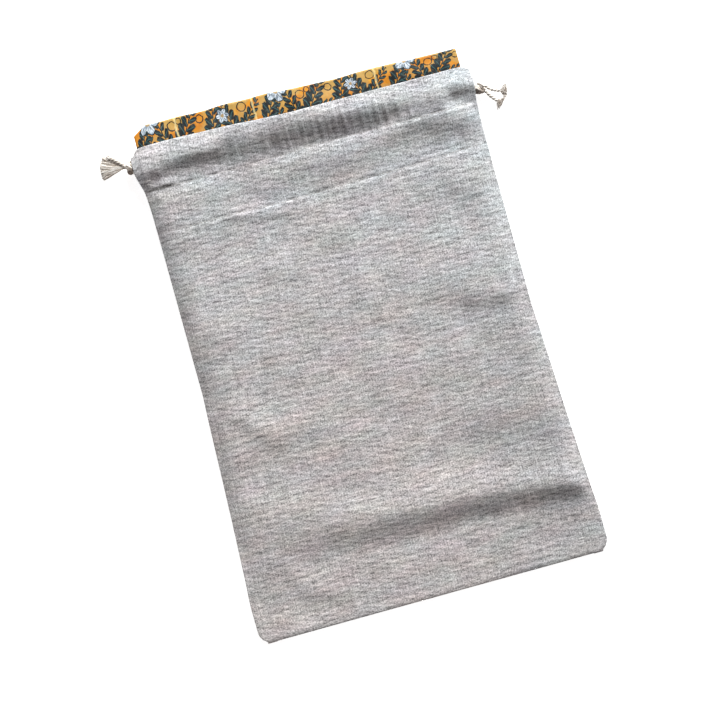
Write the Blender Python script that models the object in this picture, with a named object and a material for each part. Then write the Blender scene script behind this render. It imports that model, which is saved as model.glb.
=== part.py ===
"""A linen bread bag lying flat, with a folded waxed-cloth wrap standing out of its mouth.

The bag is one length of cloth folded at the bottom and sewn up both sides. The deep hem at the
mouth holds a channel in front and one behind, and each carries a drawcord. The two cords are
knotted together at each side, and their four cut ends lie on the table.

X runs across the bag, Y from its bottom fold to its mouth, Z up from the table.
"""

import bmesh
import bpy
import numpy as np
from mathutils import Vector

# Plan of the bag.
BOTTOM = -0.2144
CORNER_RADIUS = 0.011
HEM_LINE = 0.1245
SIDES = {  # how far each side lies from the centre line
    "y": (-0.2144, -0.184, -0.160, -0.088, -0.030, -0.004, 0.140, 0.158, 0.178, 0.188, 0.197),
    "left": (0.1457, 0.1457, 0.1442, 0.1408, 0.1385, 0.1374, 0.1374, 0.1380, 0.1420, 0.1412, 0.1398),
    "right": (0.1457, 0.1457, 0.1442, 0.1408, 0.1385, 0.1374, 0.1374, 0.1376, 0.1394, 0.1386, 0.1374),
}
MOUTH = {  # the front edge of the mouth, which dips to the right
    "x": (-0.142, -0.120, -0.074, 0.0, 0.140),
    "y": (0.1963, 0.1965, 0.1950, 0.1908, 0.1904),
}

# Height of the hollow's roof, over the wrap and at the bag's side edges.
ROOF = {
    "y": (-0.2144, -0.190, -0.160, -0.120, -0.040, 0.060, 0.115, 0.128, 0.150, 0.160, 0.181, 0.197),
    "middle": (0.0086, 0.0086, 0.0086, 0.0088, 0.0098, 0.0106, 0.0102, 0.0098, 0.0111, 0.0114, 0.0143, 0.0148),
    "edge": (0.0014, 0.0018, 0.0020, 0.0020, 0.0020, 0.0020, 0.0026, 0.0034, 0.0054, 0.0066, 0.0068, 0.0066),
    "shoulder": (0.020, 0.020, 0.020, 0.020, 0.020, 0.020, 0.020, 0.020, 0.021, 0.022, 0.025, 0.025),
    "roundness": (2.3, 2.3, 2.3, 2.3, 2.3, 2.4, 2.5, 2.6, 2.6, 2.6, 2.7, 2.7),
}

HEADER_SAG = {  # how much lower than its middle the cloth lies towards both ends of the mouth
    "x": (-0.142, -0.066, -0.050, -0.020, 0.056, 0.084, 0.112, 0.142),
    "drop": (0.0026, 0.0026, 0.0012, 0.0, 0.0, 0.0010, 0.0022, 0.0026),
}
HEADER_SAG_START = 0.140
HEADER_SAG_FULL = 0.182

LOWER_END = {  # height of the roof's middle in the empty end of the bag, below the ridge
    "y": (-0.2144, -0.200, -0.186, -0.166, -0.120),
    "z": (0.0014, 0.0017, 0.0024, 0.0038, 0.0046),
}

# Cloth and channels.
CLOTH = 0.0010
HEM_CLOTH = 0.0016
HEM_STEP = 0.0040
SIDE_SEAM = 0.0022
CASING_SEAM = {"left": 0.0042, "right": 0.0034}
CASING_START = 0.1500
CASING_RISE = 0.0260
BOTTOM_FOLD = 0.0030
CHANNEL_WALL = 0.0061
CHANNEL_REACH = 0.0105
CHANNEL_REACH_OUT = 0.1520
CHANNEL_HALF_WIDTH = 0.0026
CHANNEL_HALF_HEIGHT = 0.0021
EDGE_LIFT = 0.0009
EDGE_LIFT_WIDTH = 0.0020

# Main folds of the front: the ridge over the wrap's lower edge, and soft dents and creases.
RIDGE = {  # its crest, its height, and how far below the crest the cloth goes on falling
    "x": (-0.146, -0.100, -0.060, -0.020, 0.040, 0.080, 0.120, 0.146),
    "y": (-0.111, -0.117, -0.131, -0.138, -0.1405, -0.1445, -0.1500, -0.1560),
    "height": (0.0, 0.0008, 0.0016, 0.0021, 0.0026, 0.0027, 0.0026, 0.0024),
    "fall": (0.075, 0.056, 0.038, 0.029, 0.026, 0.024, 0.019, 0.017),
}
RIDGE_RISE = 0.018
RIDGE_FALL_SHARE = 0.60
FOLDS = (  # a soft ridge (up) or dent (down) between two points
    {"start": (-0.123, -0.016), "end": (-0.086, -0.064), "width": 0.010, "height": 0.0009},
    {"start": (0.086, 0.004), "end": (0.124, 0.000), "width": 0.011, "height": -0.0003},
    {"start": (0.066, 0.142), "end": (0.124, 0.136), "width": 0.010, "height": -0.0012},
    {"start": (-0.100, 0.160), "end": (0.136, 0.160), "width": 0.004, "height": 0.0008},
    {"start": (-0.142, -0.190), "end": (-0.110, -0.207), "width": 0.008, "height": -0.0008},
)

# Where the grid of the bag's cloth is fine or coarse along its length.
ROW_ZONES = (
    {"name": "bottom fold", "upto": -0.2040, "rows": 5},
    {"name": "below the ridge", "upto": -0.1740, "rows": 3},
    {"name": "ridge", "upto": -0.1100, "rows": 14},
    {"name": "body", "upto": 0.1120, "rows": 8},
    {"name": "header", "upto": 0.1560, "rows": 5},
    {"name": "channel", "upto": 0.2000, "rows": 11},
)
HOLLOW_ROW_ZONES = (
    {"name": "bottom fold", "upto": -0.2040, "rows": 2},
    {"name": "below the ridge", "upto": -0.1740, "rows": 3},
    {"name": "ridge", "upto": -0.1100, "rows": 14},
    {"name": "body", "upto": 0.1120, "rows": 8},
    {"name": "header", "upto": 0.1560, "rows": 5},
    {"name": "mouth", "upto": 0.2040, "rows": 7},
)
BAG_COLUMNS = 28
HOLLOW_COLUMNS = 20
LEVEL = 1e-7

# The waxed wrap: one sheet folded at its top, in two leaves.
WRAP_LEFT = -0.1348
WRAP_RIGHT = 0.1326
WRAP_TOP_LEFT = 0.2144
WRAP_TOP_RIGHT = 0.2064
WRAP_CORNER_WIDTH = 0.0112
WRAP_CORNER_DROP = 0.0080
WRAP_BOTTOM = -0.1385
WRAP_CLOTH = 0.0010
WRAP_REST = {  # height of the back leaf's underside
    "y": (-0.1385, 0.100, 0.122, 0.142, 0.160, 0.173, 0.190, 0.213),
    "z": (0.0013, 0.0013, 0.0022, 0.0029, 0.0045, 0.0061, 0.0067, 0.0049),
}
WRAP_LEAF_STEP = 0.0016
WRAP_FOLD_RADIUS = 0.0018
WRAP_CURL = 0.0040
WRAP_CURL_LENGTH = 0.028
WRAP_EVEN_COLUMNS = 10
WRAP_ROW_ZONES = (
    {"name": "curled lower end", "upto": -0.1100, "rows": 5},
    {"name": "body", "upto": 0.1000, "rows": 4},
    {"name": "rise to the mouth", "upto": 0.1960, "rows": 12},
    {"name": "outside the mouth", "upto": 0.2140, "rows": 2},
)
WRAP_FOLD_ROWS = 6

# Drawcords.
CORD_RADIUS = 0.0016
CORD_SPANS = 34
CORD_LINE = {
    "x": (-0.150, -0.142, -0.100, -0.040, 0.040, 0.100, 0.1394, 0.150),
    "y": (0.1780, 0.1785, 0.1808, 0.1812, 0.1800, 0.1770, 0.1725, 0.1715),
}
GAP = 0.0003
KNOTS = (
    {"name": "knot_left", "center": (-0.1460, 0.1802, 0.0061), "size": (0.0068, 0.0096, 0.0108)},
    {"name": "knot_right", "center": (0.1434, 0.1716, 0.0061), "size": (0.0068, 0.0096, 0.0108)},
)
TAILS = {  # each cut end's route, from the knot down to the table
    "tail_left_upper": {
        "x": (-0.1502, -0.1530, -0.1566, -0.1605),
        "y": (0.1833, 0.1880, 0.1934, 0.1975),
        "z": (0.0046, 0.0030, 0.0018, 0.0017),
    },
    "tail_left_lower": {
        "x": (-0.1503, -0.1545, -0.1605, -0.1665),
        "y": (0.1796, 0.1812, 0.1822, 0.1818),
        "z": (0.0046, 0.0028, 0.0018, 0.0017),
    },
    "tail_right_upper": {
        "x": (0.1476, 0.1522, 0.1582, 0.1645),
        "y": (0.1716, 0.1698, 0.1664, 0.1640),
        "z": (0.0046, 0.0030, 0.0018, 0.0017),
    },
    "tail_right_lower": {
        "x": (0.1475, 0.1500, 0.1536, 0.1575),
        "y": (0.1682, 0.1640, 0.1590, 0.1532),
        "z": (0.0046, 0.0028, 0.0018, 0.0017),
    },
}
TAIL_POINTS = 6

LINEN = {"name": "linen", "color": (0.50, 0.47, 0.45, 1.0), "roughness": 0.9}
WAXED_COTTON = {"name": "waxed printed cotton", "color": (0.62, 0.38, 0.09, 1.0), "roughness": 0.55}
COTTON_CORD = {"name": "cotton cord", "color": (0.78, 0.74, 0.68, 1.0), "roughness": 0.85}


def clear_scene():
    for item in list(bpy.data.objects):
        bpy.data.objects.remove(item, do_unlink=True)


def smooth_table(x, xs, ys):
    """A smooth curve through a short table that never swings past its values."""
    xs = np.array(xs)
    ys = np.array(ys)
    x = np.clip(x, xs[0], xs[-1])
    steps = np.diff(xs)
    slopes = np.diff(ys) / steps
    tangents = np.zeros(len(xs))
    for i in range(1, len(xs) - 1):
        if slopes[i - 1] * slopes[i] > 0.0:
            tangents[i] = 2.0 * slopes[i - 1] * slopes[i] / (slopes[i - 1] + slopes[i])
    i = int(np.clip(np.searchsorted(xs, x) - 1, 0, len(steps) - 1))
    t = (x - xs[i]) / steps[i]
    rise = (ys[i + 1] - ys[i]) * (3.0 * t**2 - 2.0 * t**3)
    bend = steps[i] * (tangents[i] * (t - 2.0 * t**2 + t**3) + tangents[i + 1] * (t**3 - t**2))
    return float(ys[i] + rise + bend)


def smooth_step(t):
    t = min(max(t, 0.0), 1.0)
    return t * t * (3.0 - 2.0 * t)


def side_of_bag(x_sign, y):
    """Distance from the centre line to the bag's edge, with its bottom corners rounded off."""
    side = smooth_table(y, SIDES["y"], SIDES["left" if x_sign < 0.0 else "right"])
    above_bottom = y - BOTTOM
    if above_bottom < CORNER_RADIUS:
        inward = CORNER_RADIUS - max(above_bottom, 0.0)
        side -= CORNER_RADIUS - np.sqrt(CORNER_RADIUS**2 - inward**2)
    return side


def mouth_edge(x):
    return smooth_table(x, MOUTH["x"], MOUTH["y"])


def cord_line(x):
    return smooth_table(x, CORD_LINE["x"], CORD_LINE["y"])


def hollow_level(x, y):
    """The roof's middle: over the wrap, sagging towards the mouth's ends, and falling below the ridge."""
    crest = smooth_table(x, RIDGE["x"], RIDGE["y"])
    fall = smooth_table(x, RIDGE["x"], RIDGE["fall"])
    sag = smooth_table(x, HEADER_SAG["x"], HEADER_SAG["drop"])
    sag_share = smooth_step((y - HEADER_SAG_START) / (HEADER_SAG_FULL - HEADER_SAG_START))
    filled = smooth_table(y, ROOF["y"], ROOF["middle"]) - sag * sag_share
    empty = smooth_table(y, LOWER_END["y"], LOWER_END["z"])
    return empty + (filled - empty) * smooth_step(1.0 + (y - crest) / fall)


def fold_height(x, y):
    """The ridge over the wrap's lower edge, and the softer folds and dents of the front."""
    crest = smooth_table(x, RIDGE["x"], RIDGE["y"])
    lift = smooth_table(x, RIDGE["x"], RIDGE["height"])
    fall = smooth_table(x, RIDGE["x"], RIDGE["fall"])
    width = RIDGE_RISE if y > crest else RIDGE_FALL_SHARE * fall
    height = lift * np.exp(-(((y - crest) / width) ** 2))
    for fold in FOLDS:
        start = np.array(fold["start"])
        along = np.array(fold["end"]) - start
        t = np.clip(np.dot(np.array((x, y)) - start, along) / np.dot(along, along), 0.0, 1.0)
        distance = np.linalg.norm(np.array((x, y)) - start - along * t)
        height += fold["height"] * np.exp(-((distance / fold["width"]) ** 2))
    return height


def roof(x, y):
    """Top of the bag's hollow."""
    middle = hollow_level(x, y)
    edge = smooth_table(y, ROOF["y"], ROOF["edge"])
    width = smooth_table(y, ROOF["y"], ROOF["shoulder"])
    roundness = smooth_table(y, ROOF["y"], ROOF["roundness"])
    inward = max(side_of_bag(x, y) - abs(x), 0.0)
    shoulder = 1.0 - (1.0 - min(inward / width, 1.0)) ** roundness
    return edge + (middle - edge + fold_height(x, y)) * shoulder


def wall(x, y):
    """Thickness of a wall: single cloth, doubled in the hem, and swollen round the channel."""
    hem = smooth_step((y - HEM_LINE) / HEM_STEP + 0.5)
    cloth = CLOTH + (HEM_CLOTH - CLOTH) * hem
    away = min(abs(y - cord_line(x)) / CHANNEL_REACH, 1.0)
    return cloth + (CHANNEL_WALL - cloth) * np.cos(away * np.pi / 2.0) ** 2


def bag_top(x, y):
    return roof(x, y) + wall(x, y)


def bag_underside(x, y):
    """Flat on the table, with the outer edge rounded up a little."""
    inward = min(side_of_bag(x, y) - abs(x), y - BOTTOM)
    return EDGE_LIFT * max(1.0 - inward / EDGE_LIFT_WIDTH, 0.0) ** 2


def is_level(face):
    heights = [vertex.co.z for vertex in face.verts]
    return max(heights) - min(heights) < LEVEL


def slab(name, columns, rows, plan, low, high):
    """A closed solid between two height functions, over a grid laid out by plan(u, v)."""
    mesh = bmesh.new()
    bmesh.ops.create_grid(mesh, x_segments=columns, y_segments=rows, size=1.0)
    for vertex in mesh.verts:
        x, y = plan(vertex.co.x, (vertex.co.y + 1.0) / 2.0)
        vertex.co = Vector((x, y, low(x, y)))
    grown = bmesh.ops.extrude_face_region(mesh, geom=mesh.faces[:])
    for vertex in grown["geom"]:
        if isinstance(vertex, bmesh.types.BMVert):
            vertex.co.z = high(vertex.co.x, vertex.co.y)
    bmesh.ops.recalc_face_normals(mesh, faces=mesh.faces[:])
    level = [face for face in mesh.faces if is_level(face)]
    bmesh.ops.dissolve_faces(mesh, faces=level)
    data = bpy.data.meshes.new(name)
    mesh.to_mesh(data)
    mesh.free()
    solid = bpy.data.objects.new(name, data)
    bpy.context.collection.objects.link(solid)
    return solid


def crowd_to_edges(u):
    """Grid lines drawn towards both sides, where the cloth turns over."""
    return 0.72 * np.sin(u * np.pi / 2.0) + 0.28 * u


def rows_of(start, zones):
    rows = [start]
    for zone in zones:
        rows.extend(np.linspace(rows[-1], zone["upto"], zone["rows"] + 1)[1:])
    return rows


def bag_plan(u, v):
    rows = rows_of(BOTTOM, ROW_ZONES)
    y = rows[round(v * (len(rows) - 1))]
    channel_start = ROW_ZONES[-2]["upto"]
    x = crowd_to_edges(u) * side_of_bag(u, y)
    if y > channel_start:
        share = (y - channel_start) / (rows[-1] - channel_start)
        y = channel_start + share * (mouth_edge(x) - channel_start)
        x = crowd_to_edges(u) * side_of_bag(u, y)
    return x, y


def hollow_side(x_sign, y):
    """Where the hollow ends, inside the side seam."""
    casing = CASING_SEAM["left" if x_sign < 0.0 else "right"]
    inset = SIDE_SEAM + (casing - SIDE_SEAM) * smooth_step((y - CASING_START) / CASING_RISE)
    return side_of_bag(x_sign, y) - inset


def hollow_plan(u, v):
    rows = rows_of(BOTTOM + BOTTOM_FOLD, HOLLOW_ROW_ZONES)
    y = rows[round(v * (len(rows) - 1))]
    return crowd_to_edges(u) * hollow_side(u, y), y


def make_cutter(solid):
    solid.hide_render = True
    solid.display_type = "WIRE"


def cut(solid, cutter):
    boolean = solid.modifiers.new(cutter.name, "BOOLEAN")
    boolean.operation = "DIFFERENCE"
    boolean.solver = "EXACT"
    boolean.object = cutter
    make_cutter(cutter)


def channel_height(x, side):
    """Height of a channel's centre line: over the roof in front, on the table cloth behind."""
    if side == "back":
        return CHANNEL_WALL - CLOTH - CHANNEL_HALF_HEIGHT
    return roof(x, cord_line(x)) + CLOTH + CHANNEL_HALF_HEIGHT


def cord_stations(left_end, right_end):
    """Places along a channel, closest together near its ends, with a step past each side slit."""
    left = side_of_bag(-1.0, cord_line(left_end))
    right = side_of_bag(1.0, cord_line(right_end))
    stations = [left_end]
    for u in np.linspace(-1.0, 1.0, CORD_SPANS + 1):
        stations.append(crowd_to_edges(u) * (left if u < 0.0 else right))
    stations.append(right_end)
    return stations


def channel_cutter(side):
    """A flat oval tunnel along the cord, open at both sides of the bag."""
    stations = cord_stations(-CHANNEL_REACH_OUT, CHANNEL_REACH_OUT)

    def plan(u, v):
        x = stations[round(v * (len(stations) - 1))]
        return x, cord_line(x) + u * CHANNEL_HALF_WIDTH

    def offset(x, y):
        across = min(abs(y - cord_line(x)) / CHANNEL_HALF_WIDTH, 1.0)
        return CHANNEL_HALF_HEIGHT * (0.25 + 0.75 * np.sqrt(1.0 - across**2))

    def low(x, y):
        return channel_height(x, side) - offset(x, y)

    def high(x, y):
        return channel_height(x, side) + offset(x, y)

    return slab(f"channel_{side}", 4, len(stations) - 1, plan, low, high)


def smooth_and_color(solid, finish):
    material = bpy.data.materials.get(finish["name"]) or bpy.data.materials.new(finish["name"])
    material.use_nodes = True
    shader = material.node_tree.nodes["Principled BSDF"]
    shader.inputs["Base Color"].default_value = finish["color"]
    shader.inputs["Roughness"].default_value = finish["roughness"]
    shader.inputs["Metallic"].default_value = 0.0
    solid.data.materials.clear()
    solid.data.materials.append(material)


def build_bag():
    rows = rows_of(BOTTOM, ROW_ZONES)
    bag = slab("bag_cloth", BAG_COLUMNS, len(rows) - 1, bag_plan, bag_underside, bag_top)
    hollow_rows = sum(zone["rows"] for zone in HOLLOW_ROW_ZONES)
    hollow = slab("bag_hollow", HOLLOW_COLUMNS, hollow_rows, hollow_plan, wall, roof)
    cut(bag, hollow)
    cut(bag, channel_cutter("front"))
    cut(bag, channel_cutter("back"))
    smooth_and_color(bag, LINEN)
    return bag


def wrap_top(x):
    """The fold's edge, which dips to the right and is turned down at its left corner."""
    share = (x - WRAP_LEFT) / (WRAP_RIGHT - WRAP_LEFT)
    top = WRAP_TOP_LEFT + share * (WRAP_TOP_RIGHT - WRAP_TOP_LEFT)
    corner = max(1.0 - (x - WRAP_LEFT) / WRAP_CORNER_WIDTH, 0.0)
    return top - WRAP_CORNER_DROP * corner


def wrap_section(x):
    """Points of the sheet's middle from the back leaf's lower edge, over the fold, to the front's."""
    top = wrap_top(x) - WRAP_FOLD_RADIUS - 0.5 * WRAP_CLOTH
    rows = np.array(rows_of(WRAP_BOTTOM, WRAP_ROW_ZONES))
    mouth = WRAP_ROW_ZONES[-2]["upto"]
    outside = np.clip((rows - mouth) / (rows[-1] - mouth), 0.0, 1.0)
    ys = rows + outside * (top - rows[-1])
    opening = 0.5 * WRAP_LEAF_STEP
    points = []
    for y in ys:
        points.append((y, smooth_table(y, WRAP_REST["y"], WRAP_REST["z"]) + 0.5 * WRAP_CLOTH))
    fold_z = points[-1][1] + opening
    for i in range(1, WRAP_FOLD_ROWS):
        angle = np.pi * (i / WRAP_FOLD_ROWS - 0.5)
        points.append((top + WRAP_FOLD_RADIUS * np.cos(angle), fold_z + opening * np.sin(angle)))
    curl = WRAP_CURL * (0.35 + 0.65 * smooth_step((x + 0.10) / 0.22))
    for y in ys[::-1]:
        lower_end = smooth_step(1.0 - (y - WRAP_BOTTOM) / WRAP_CURL_LENGTH)
        z = smooth_table(y, WRAP_REST["y"], WRAP_REST["z"]) + 0.5 * WRAP_CLOTH
        points.append((y, z + WRAP_LEAF_STEP + curl * lower_end))
    return points


def build_wrap():
    """The sheet's middle surface from a grid, thickened by a Solidify modifier."""
    corner = WRAP_LEFT + WRAP_CORNER_WIDTH
    columns = [WRAP_LEFT, 0.5 * (WRAP_LEFT + corner)]
    columns.extend(np.linspace(corner, WRAP_RIGHT, WRAP_EVEN_COLUMNS + 1))
    sections = [wrap_section(x) for x in columns]
    rows = len(sections[0])
    mesh = bmesh.new()
    bmesh.ops.create_grid(mesh, x_segments=len(columns) - 1, y_segments=rows - 1, size=1.0)
    for vertex in mesh.verts:
        column = round((vertex.co.x + 1.0) / 2.0 * (len(columns) - 1))
        row = round((vertex.co.y + 1.0) / 2.0 * (rows - 1))
        vertex.co = Vector((columns[column], *sections[column][row]))
    data = bpy.data.meshes.new("wax_wrap")
    mesh.to_mesh(data)
    mesh.free()
    wrap = bpy.data.objects.new("wax_wrap", data)
    bpy.context.collection.objects.link(wrap)
    solidify = wrap.modifiers.new("thickness", "SOLIDIFY")
    solidify.thickness = WRAP_CLOTH
    solidify.offset = 0.0
    solidify.use_even_offset = True
    smooth_and_color(wrap, WAXED_COTTON)
    return wrap


def cord(name, points):
    """A round cord along a row of points."""
    curve = bpy.data.curves.new(name, "CURVE")
    curve.dimensions = "3D"
    curve.bevel_depth = CORD_RADIUS
    curve.bevel_resolution = 2
    curve.use_fill_caps = True
    spline = curve.splines.new("POLY")
    spline.points.add(len(points) - 1)
    for target, point in zip(spline.points, points):
        target.co = (*point, 1.0)
    solid = bpy.data.objects.new(name, curve)
    bpy.context.collection.objects.link(solid)
    smooth_and_color(solid, COTTON_CORD)
    return solid


def build_drawcord(side):
    """From the left knot's inner face, through the channel, to the right knot's."""
    left = KNOTS[0]["center"][0] + 0.5 * KNOTS[0]["size"][0] + GAP
    right = KNOTS[1]["center"][0] - 0.5 * KNOTS[1]["size"][0] - GAP
    points = []
    for x in cord_stations(left, right):
        points.append((x, cord_line(x), channel_height(x, side)))
    return cord(f"drawcord_{side}", points)


def build_knot(knot):
    """A tight lump, flat where the cords go in and where the ends come out."""
    mesh = bmesh.new()
    bmesh.ops.create_uvsphere(mesh, u_segments=12, v_segments=8, radius=0.5)
    length, width, height = knot["size"]
    for vertex in mesh.verts:
        x, y, z = vertex.co
        flat = 0.5 * np.sign(x) * (1.0 - (1.0 - min(abs(x) * 2.0, 1.0)) ** 1.6)
        vertex.co = Vector((flat * length, y * width, z * height))
    bmesh.ops.translate(mesh, vec=knot["center"], verts=mesh.verts[:])
    data = bpy.data.meshes.new(knot["name"])
    mesh.to_mesh(data)
    mesh.free()
    solid = bpy.data.objects.new(knot["name"], data)
    bpy.context.collection.objects.link(solid)
    solid.data.shade_smooth()
    smooth_and_color(solid, COTTON_CORD)
    return solid


def build_tail(name, places):
    """A cut end on a smooth curve through its route, from the knot down to the table."""
    route = np.column_stack((places["x"], places["y"], places["z"]))
    spans = np.linalg.norm(np.diff(route, axis=0), axis=1)
    along = np.concatenate(([0.0], np.cumsum(spans)))
    points = []
    for s in np.linspace(0.0, along[-1], TAIL_POINTS):
        points.append(tuple(smooth_table(s, along, route[:, axis]) for axis in range(3)))
    return cord(name, points)


def main():
    clear_scene()
    build_bag()
    build_wrap()
    for side in ("front", "back"):
        build_drawcord(side)
    for knot in KNOTS:
        build_knot(knot)
    for name, places in TAILS.items():
        build_tail(name, places)


main()
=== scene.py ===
# %% [markdown]
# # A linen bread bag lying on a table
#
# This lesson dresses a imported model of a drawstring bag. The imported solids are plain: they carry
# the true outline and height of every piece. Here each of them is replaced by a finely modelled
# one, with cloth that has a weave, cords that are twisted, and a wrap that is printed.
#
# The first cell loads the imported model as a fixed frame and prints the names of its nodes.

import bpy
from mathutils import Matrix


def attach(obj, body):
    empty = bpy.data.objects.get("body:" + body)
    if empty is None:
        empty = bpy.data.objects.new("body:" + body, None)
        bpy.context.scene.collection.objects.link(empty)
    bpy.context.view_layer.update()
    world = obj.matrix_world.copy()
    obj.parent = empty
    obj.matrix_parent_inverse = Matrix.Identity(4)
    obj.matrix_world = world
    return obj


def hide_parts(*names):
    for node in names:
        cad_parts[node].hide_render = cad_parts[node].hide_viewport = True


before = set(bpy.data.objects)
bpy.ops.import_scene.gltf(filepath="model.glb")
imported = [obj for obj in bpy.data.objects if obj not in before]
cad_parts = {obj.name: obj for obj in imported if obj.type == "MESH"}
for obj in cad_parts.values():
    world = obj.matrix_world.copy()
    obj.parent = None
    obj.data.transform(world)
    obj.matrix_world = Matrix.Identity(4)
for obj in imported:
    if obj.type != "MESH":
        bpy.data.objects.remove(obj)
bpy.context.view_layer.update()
print("packed nodes:", ", ".join(sorted(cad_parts)))

import bmesh
import bpy
import numpy as np
from mathutils import Vector

scene = bpy.context.scene
scene.view_settings.view_transform = "Standard"

# %% [markdown]
# ## The camera
#
# The bag is seen from straight above, turned a little on the table. The lens is long, because
# that keeps the near and the far end of a flat thing at the same scale.

# %% Camera above the table
CAMERA_HEIGHT = 1.70
CLOTH_LEVEL = 0.011
VIEW_WIDTH = 0.576
VIEW_CENTER = (-0.0078, -0.0142)
VIEW_TURN = np.radians(15.5)

camera_data = bpy.data.cameras.new("camera")
camera_data.angle = 2.0 * np.arctan(0.5 * VIEW_WIDTH / (CAMERA_HEIGHT - CLOTH_LEVEL))
camera = bpy.data.objects.new("camera", camera_data)
camera.location = (*VIEW_CENTER, CAMERA_HEIGHT)
camera.rotation_euler = (0.0, 0.0, -VIEW_TURN)
scene.collection.objects.link(camera)
scene.camera = camera
print("lens:", round(camera_data.lens, 1), "mm")

# %% [markdown]
# ## The light
#
# A wide lamp beyond the bag's mouth grazes the cloth, so that each fold has a light side towards
# the mouth and a dark side towards the bottom. A pale sky fills the shadows.

# %% Lamps and sky
KEY_LAMP = {"place": (1.25, 3.45, 1.90), "size": 1.2, "power": 370.0}
KEY_COLOR = (0.985, 1.0, 1.005)
SKY_COLOR = (1.03, 0.985, 0.975, 1.0)
SKY_STRENGTH = 0.30


def add_lamp(name, place, size, power):
    """A square area lamp that looks at the middle of the bag."""
    data = bpy.data.lights.new(name, "AREA")
    data.shape = "SQUARE"
    data.size = size
    data.energy = power
    data.color = KEY_COLOR
    lamp = bpy.data.objects.new(name, data)
    lamp.location = place
    lamp.rotation_euler = Vector(place).to_track_quat("Z", "Y").to_euler()
    scene.collection.objects.link(lamp)
    print(name, "looks down from", round(place[2], 2), "m")


add_lamp("key_lamp", **KEY_LAMP)
world = bpy.data.worlds.new("sky")
world.use_nodes = True
world.node_tree.nodes["Background"].inputs["Color"].default_value = SKY_COLOR
world.node_tree.nodes["Background"].inputs["Strength"].default_value = SKY_STRENGTH
scene.world = world

# %% [markdown]
# ## Short tables for smooth shapes
#
# Cloth has no corners, so heights and outlines are read from short tables by a curve that never
# swings past the values given. Every function here takes whole arrays of places at once.

# %% Curves through short tables
def smooth_table(x, xs, ys):
    """A smooth curve through a short table that never swings past its values."""
    xs, ys = np.array(xs, float), np.array(ys, float)
    x = np.clip(x, xs[0], xs[-1])
    steps = np.diff(xs)
    slopes = np.diff(ys) / steps
    tangents = np.zeros(len(xs))
    for i in range(1, len(xs) - 1):
        if slopes[i - 1] * slopes[i] > 0.0:
            tangents[i] = 2.0 * slopes[i - 1] * slopes[i] / (slopes[i - 1] + slopes[i])
    i = np.clip(np.searchsorted(xs, x) - 1, 0, len(steps) - 1)
    t = (x - xs[i]) / steps[i]
    rise = (ys[i + 1] - ys[i]) * (3.0 * t**2 - 2.0 * t**3)
    bend = steps[i] * (tangents[i] * (t - 2.0 * t**2 + t**3) + tangents[i + 1] * (t**3 - t**2))
    return ys[i] + rise + bend


def smooth_step(t):
    t = np.clip(t, 0.0, 1.0)
    return t * t * (3.0 - 2.0 * t)


def bell(distance, width):
    return np.exp(-((distance / width) ** 2))


def ripple(x, y, seed, wavelength, stretch=(1.0, 1.0), waves=14):
    """Uneven ripples of about one wavelength, with a size of about one, the same on every run."""
    dice = np.random.default_rng(seed)
    total = np.zeros(np.broadcast(x, y).shape)
    for _ in range(waves):
        turn = dice.uniform(0.0, 2.0 * np.pi)
        length = wavelength * dice.uniform(0.7, 1.6)
        phase = dice.uniform(0.0, 2.0 * np.pi)
        across = x * np.cos(turn) / stretch[0] + y * np.sin(turn) / stretch[1]
        total += np.sin(2.0 * np.pi * across / length + phase)
    return total * np.sqrt(2.0 / waves)


# %% [markdown]
# ## The outline of the bag and the height of its cloth
#
# The plan and the hollow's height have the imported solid's own sizes. The front cloth lies one
# cloth above the hollow, and rises over the drawcord in its channel.

# %% Plan of the bag
BOTTOM = -0.2144
CORNER_RADIUS = 0.011
HEM_LINE = 0.1242
CHANNEL_LINE = 0.1603
SIDES = {
    "y": (-0.2144, -0.184, -0.160, -0.088, -0.030, -0.004, 0.140, 0.158, 0.178, 0.188, 0.197),
    "left": (0.1457, 0.1457, 0.1442, 0.1408, 0.1385, 0.1374, 0.1374, 0.1380, 0.1420, 0.1422, 0.1404),
    "right": (0.1457, 0.1457, 0.1442, 0.1408, 0.1385, 0.1374, 0.1374, 0.1376, 0.1394, 0.1386, 0.1374),
}
MOUTH = {
    "x": (-0.142, -0.120, -0.074, 0.0, 0.140),
    "y": (0.1963, 0.1965, 0.1950, 0.1908, 0.1904),
}
CORD_LINE = {
    "x": (-0.150, -0.142, -0.100, -0.040, 0.040, 0.100, 0.1394, 0.150),
    "y": (0.1780, 0.1785, 0.1808, 0.1812, 0.1800, 0.1770, 0.1725, 0.1715),
}
ROOF = {
    "y": (-0.2144, -0.190, -0.160, -0.120, -0.040, 0.060, 0.115, 0.128, 0.150, 0.160, 0.181, 0.197),
    "middle": (
        0.0086, 0.0086, 0.0086, 0.0088, 0.0098, 0.0106,
        0.0102, 0.0098, 0.0111, 0.0114, 0.0143, 0.0148,
    ),
    "edge": (
        0.0014, 0.0018, 0.0020, 0.0020, 0.0020, 0.0020,
        0.0026, 0.0034, 0.0054, 0.0066, 0.0068, 0.0066,
    ),
    "shoulder": (0.020, 0.020, 0.020, 0.020, 0.020, 0.020, 0.020, 0.020, 0.021, 0.022, 0.025, 0.025),
    "roundness": (2.3, 2.3, 2.3, 2.3, 2.3, 2.4, 2.5, 2.6, 2.6, 2.6, 2.7, 2.7),
}
HEADER_SAG = {  # how much lower than its middle the cloth lies towards both ends of the mouth
    "x": (-0.142, -0.066, -0.050, -0.020, 0.056, 0.084, 0.112, 0.142),
    "drop": (0.0026, 0.0026, 0.0012, 0.0, 0.0, 0.0010, 0.0022, 0.0026),
}
HEADER_SAG_START = 0.140
HEADER_SAG_FULL = 0.182
LOWER_END = {
    "y": (-0.2144, -0.200, -0.186, -0.166, -0.120),
    "z": (0.0014, 0.0017, 0.0024, 0.0038, 0.0046),
}
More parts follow.
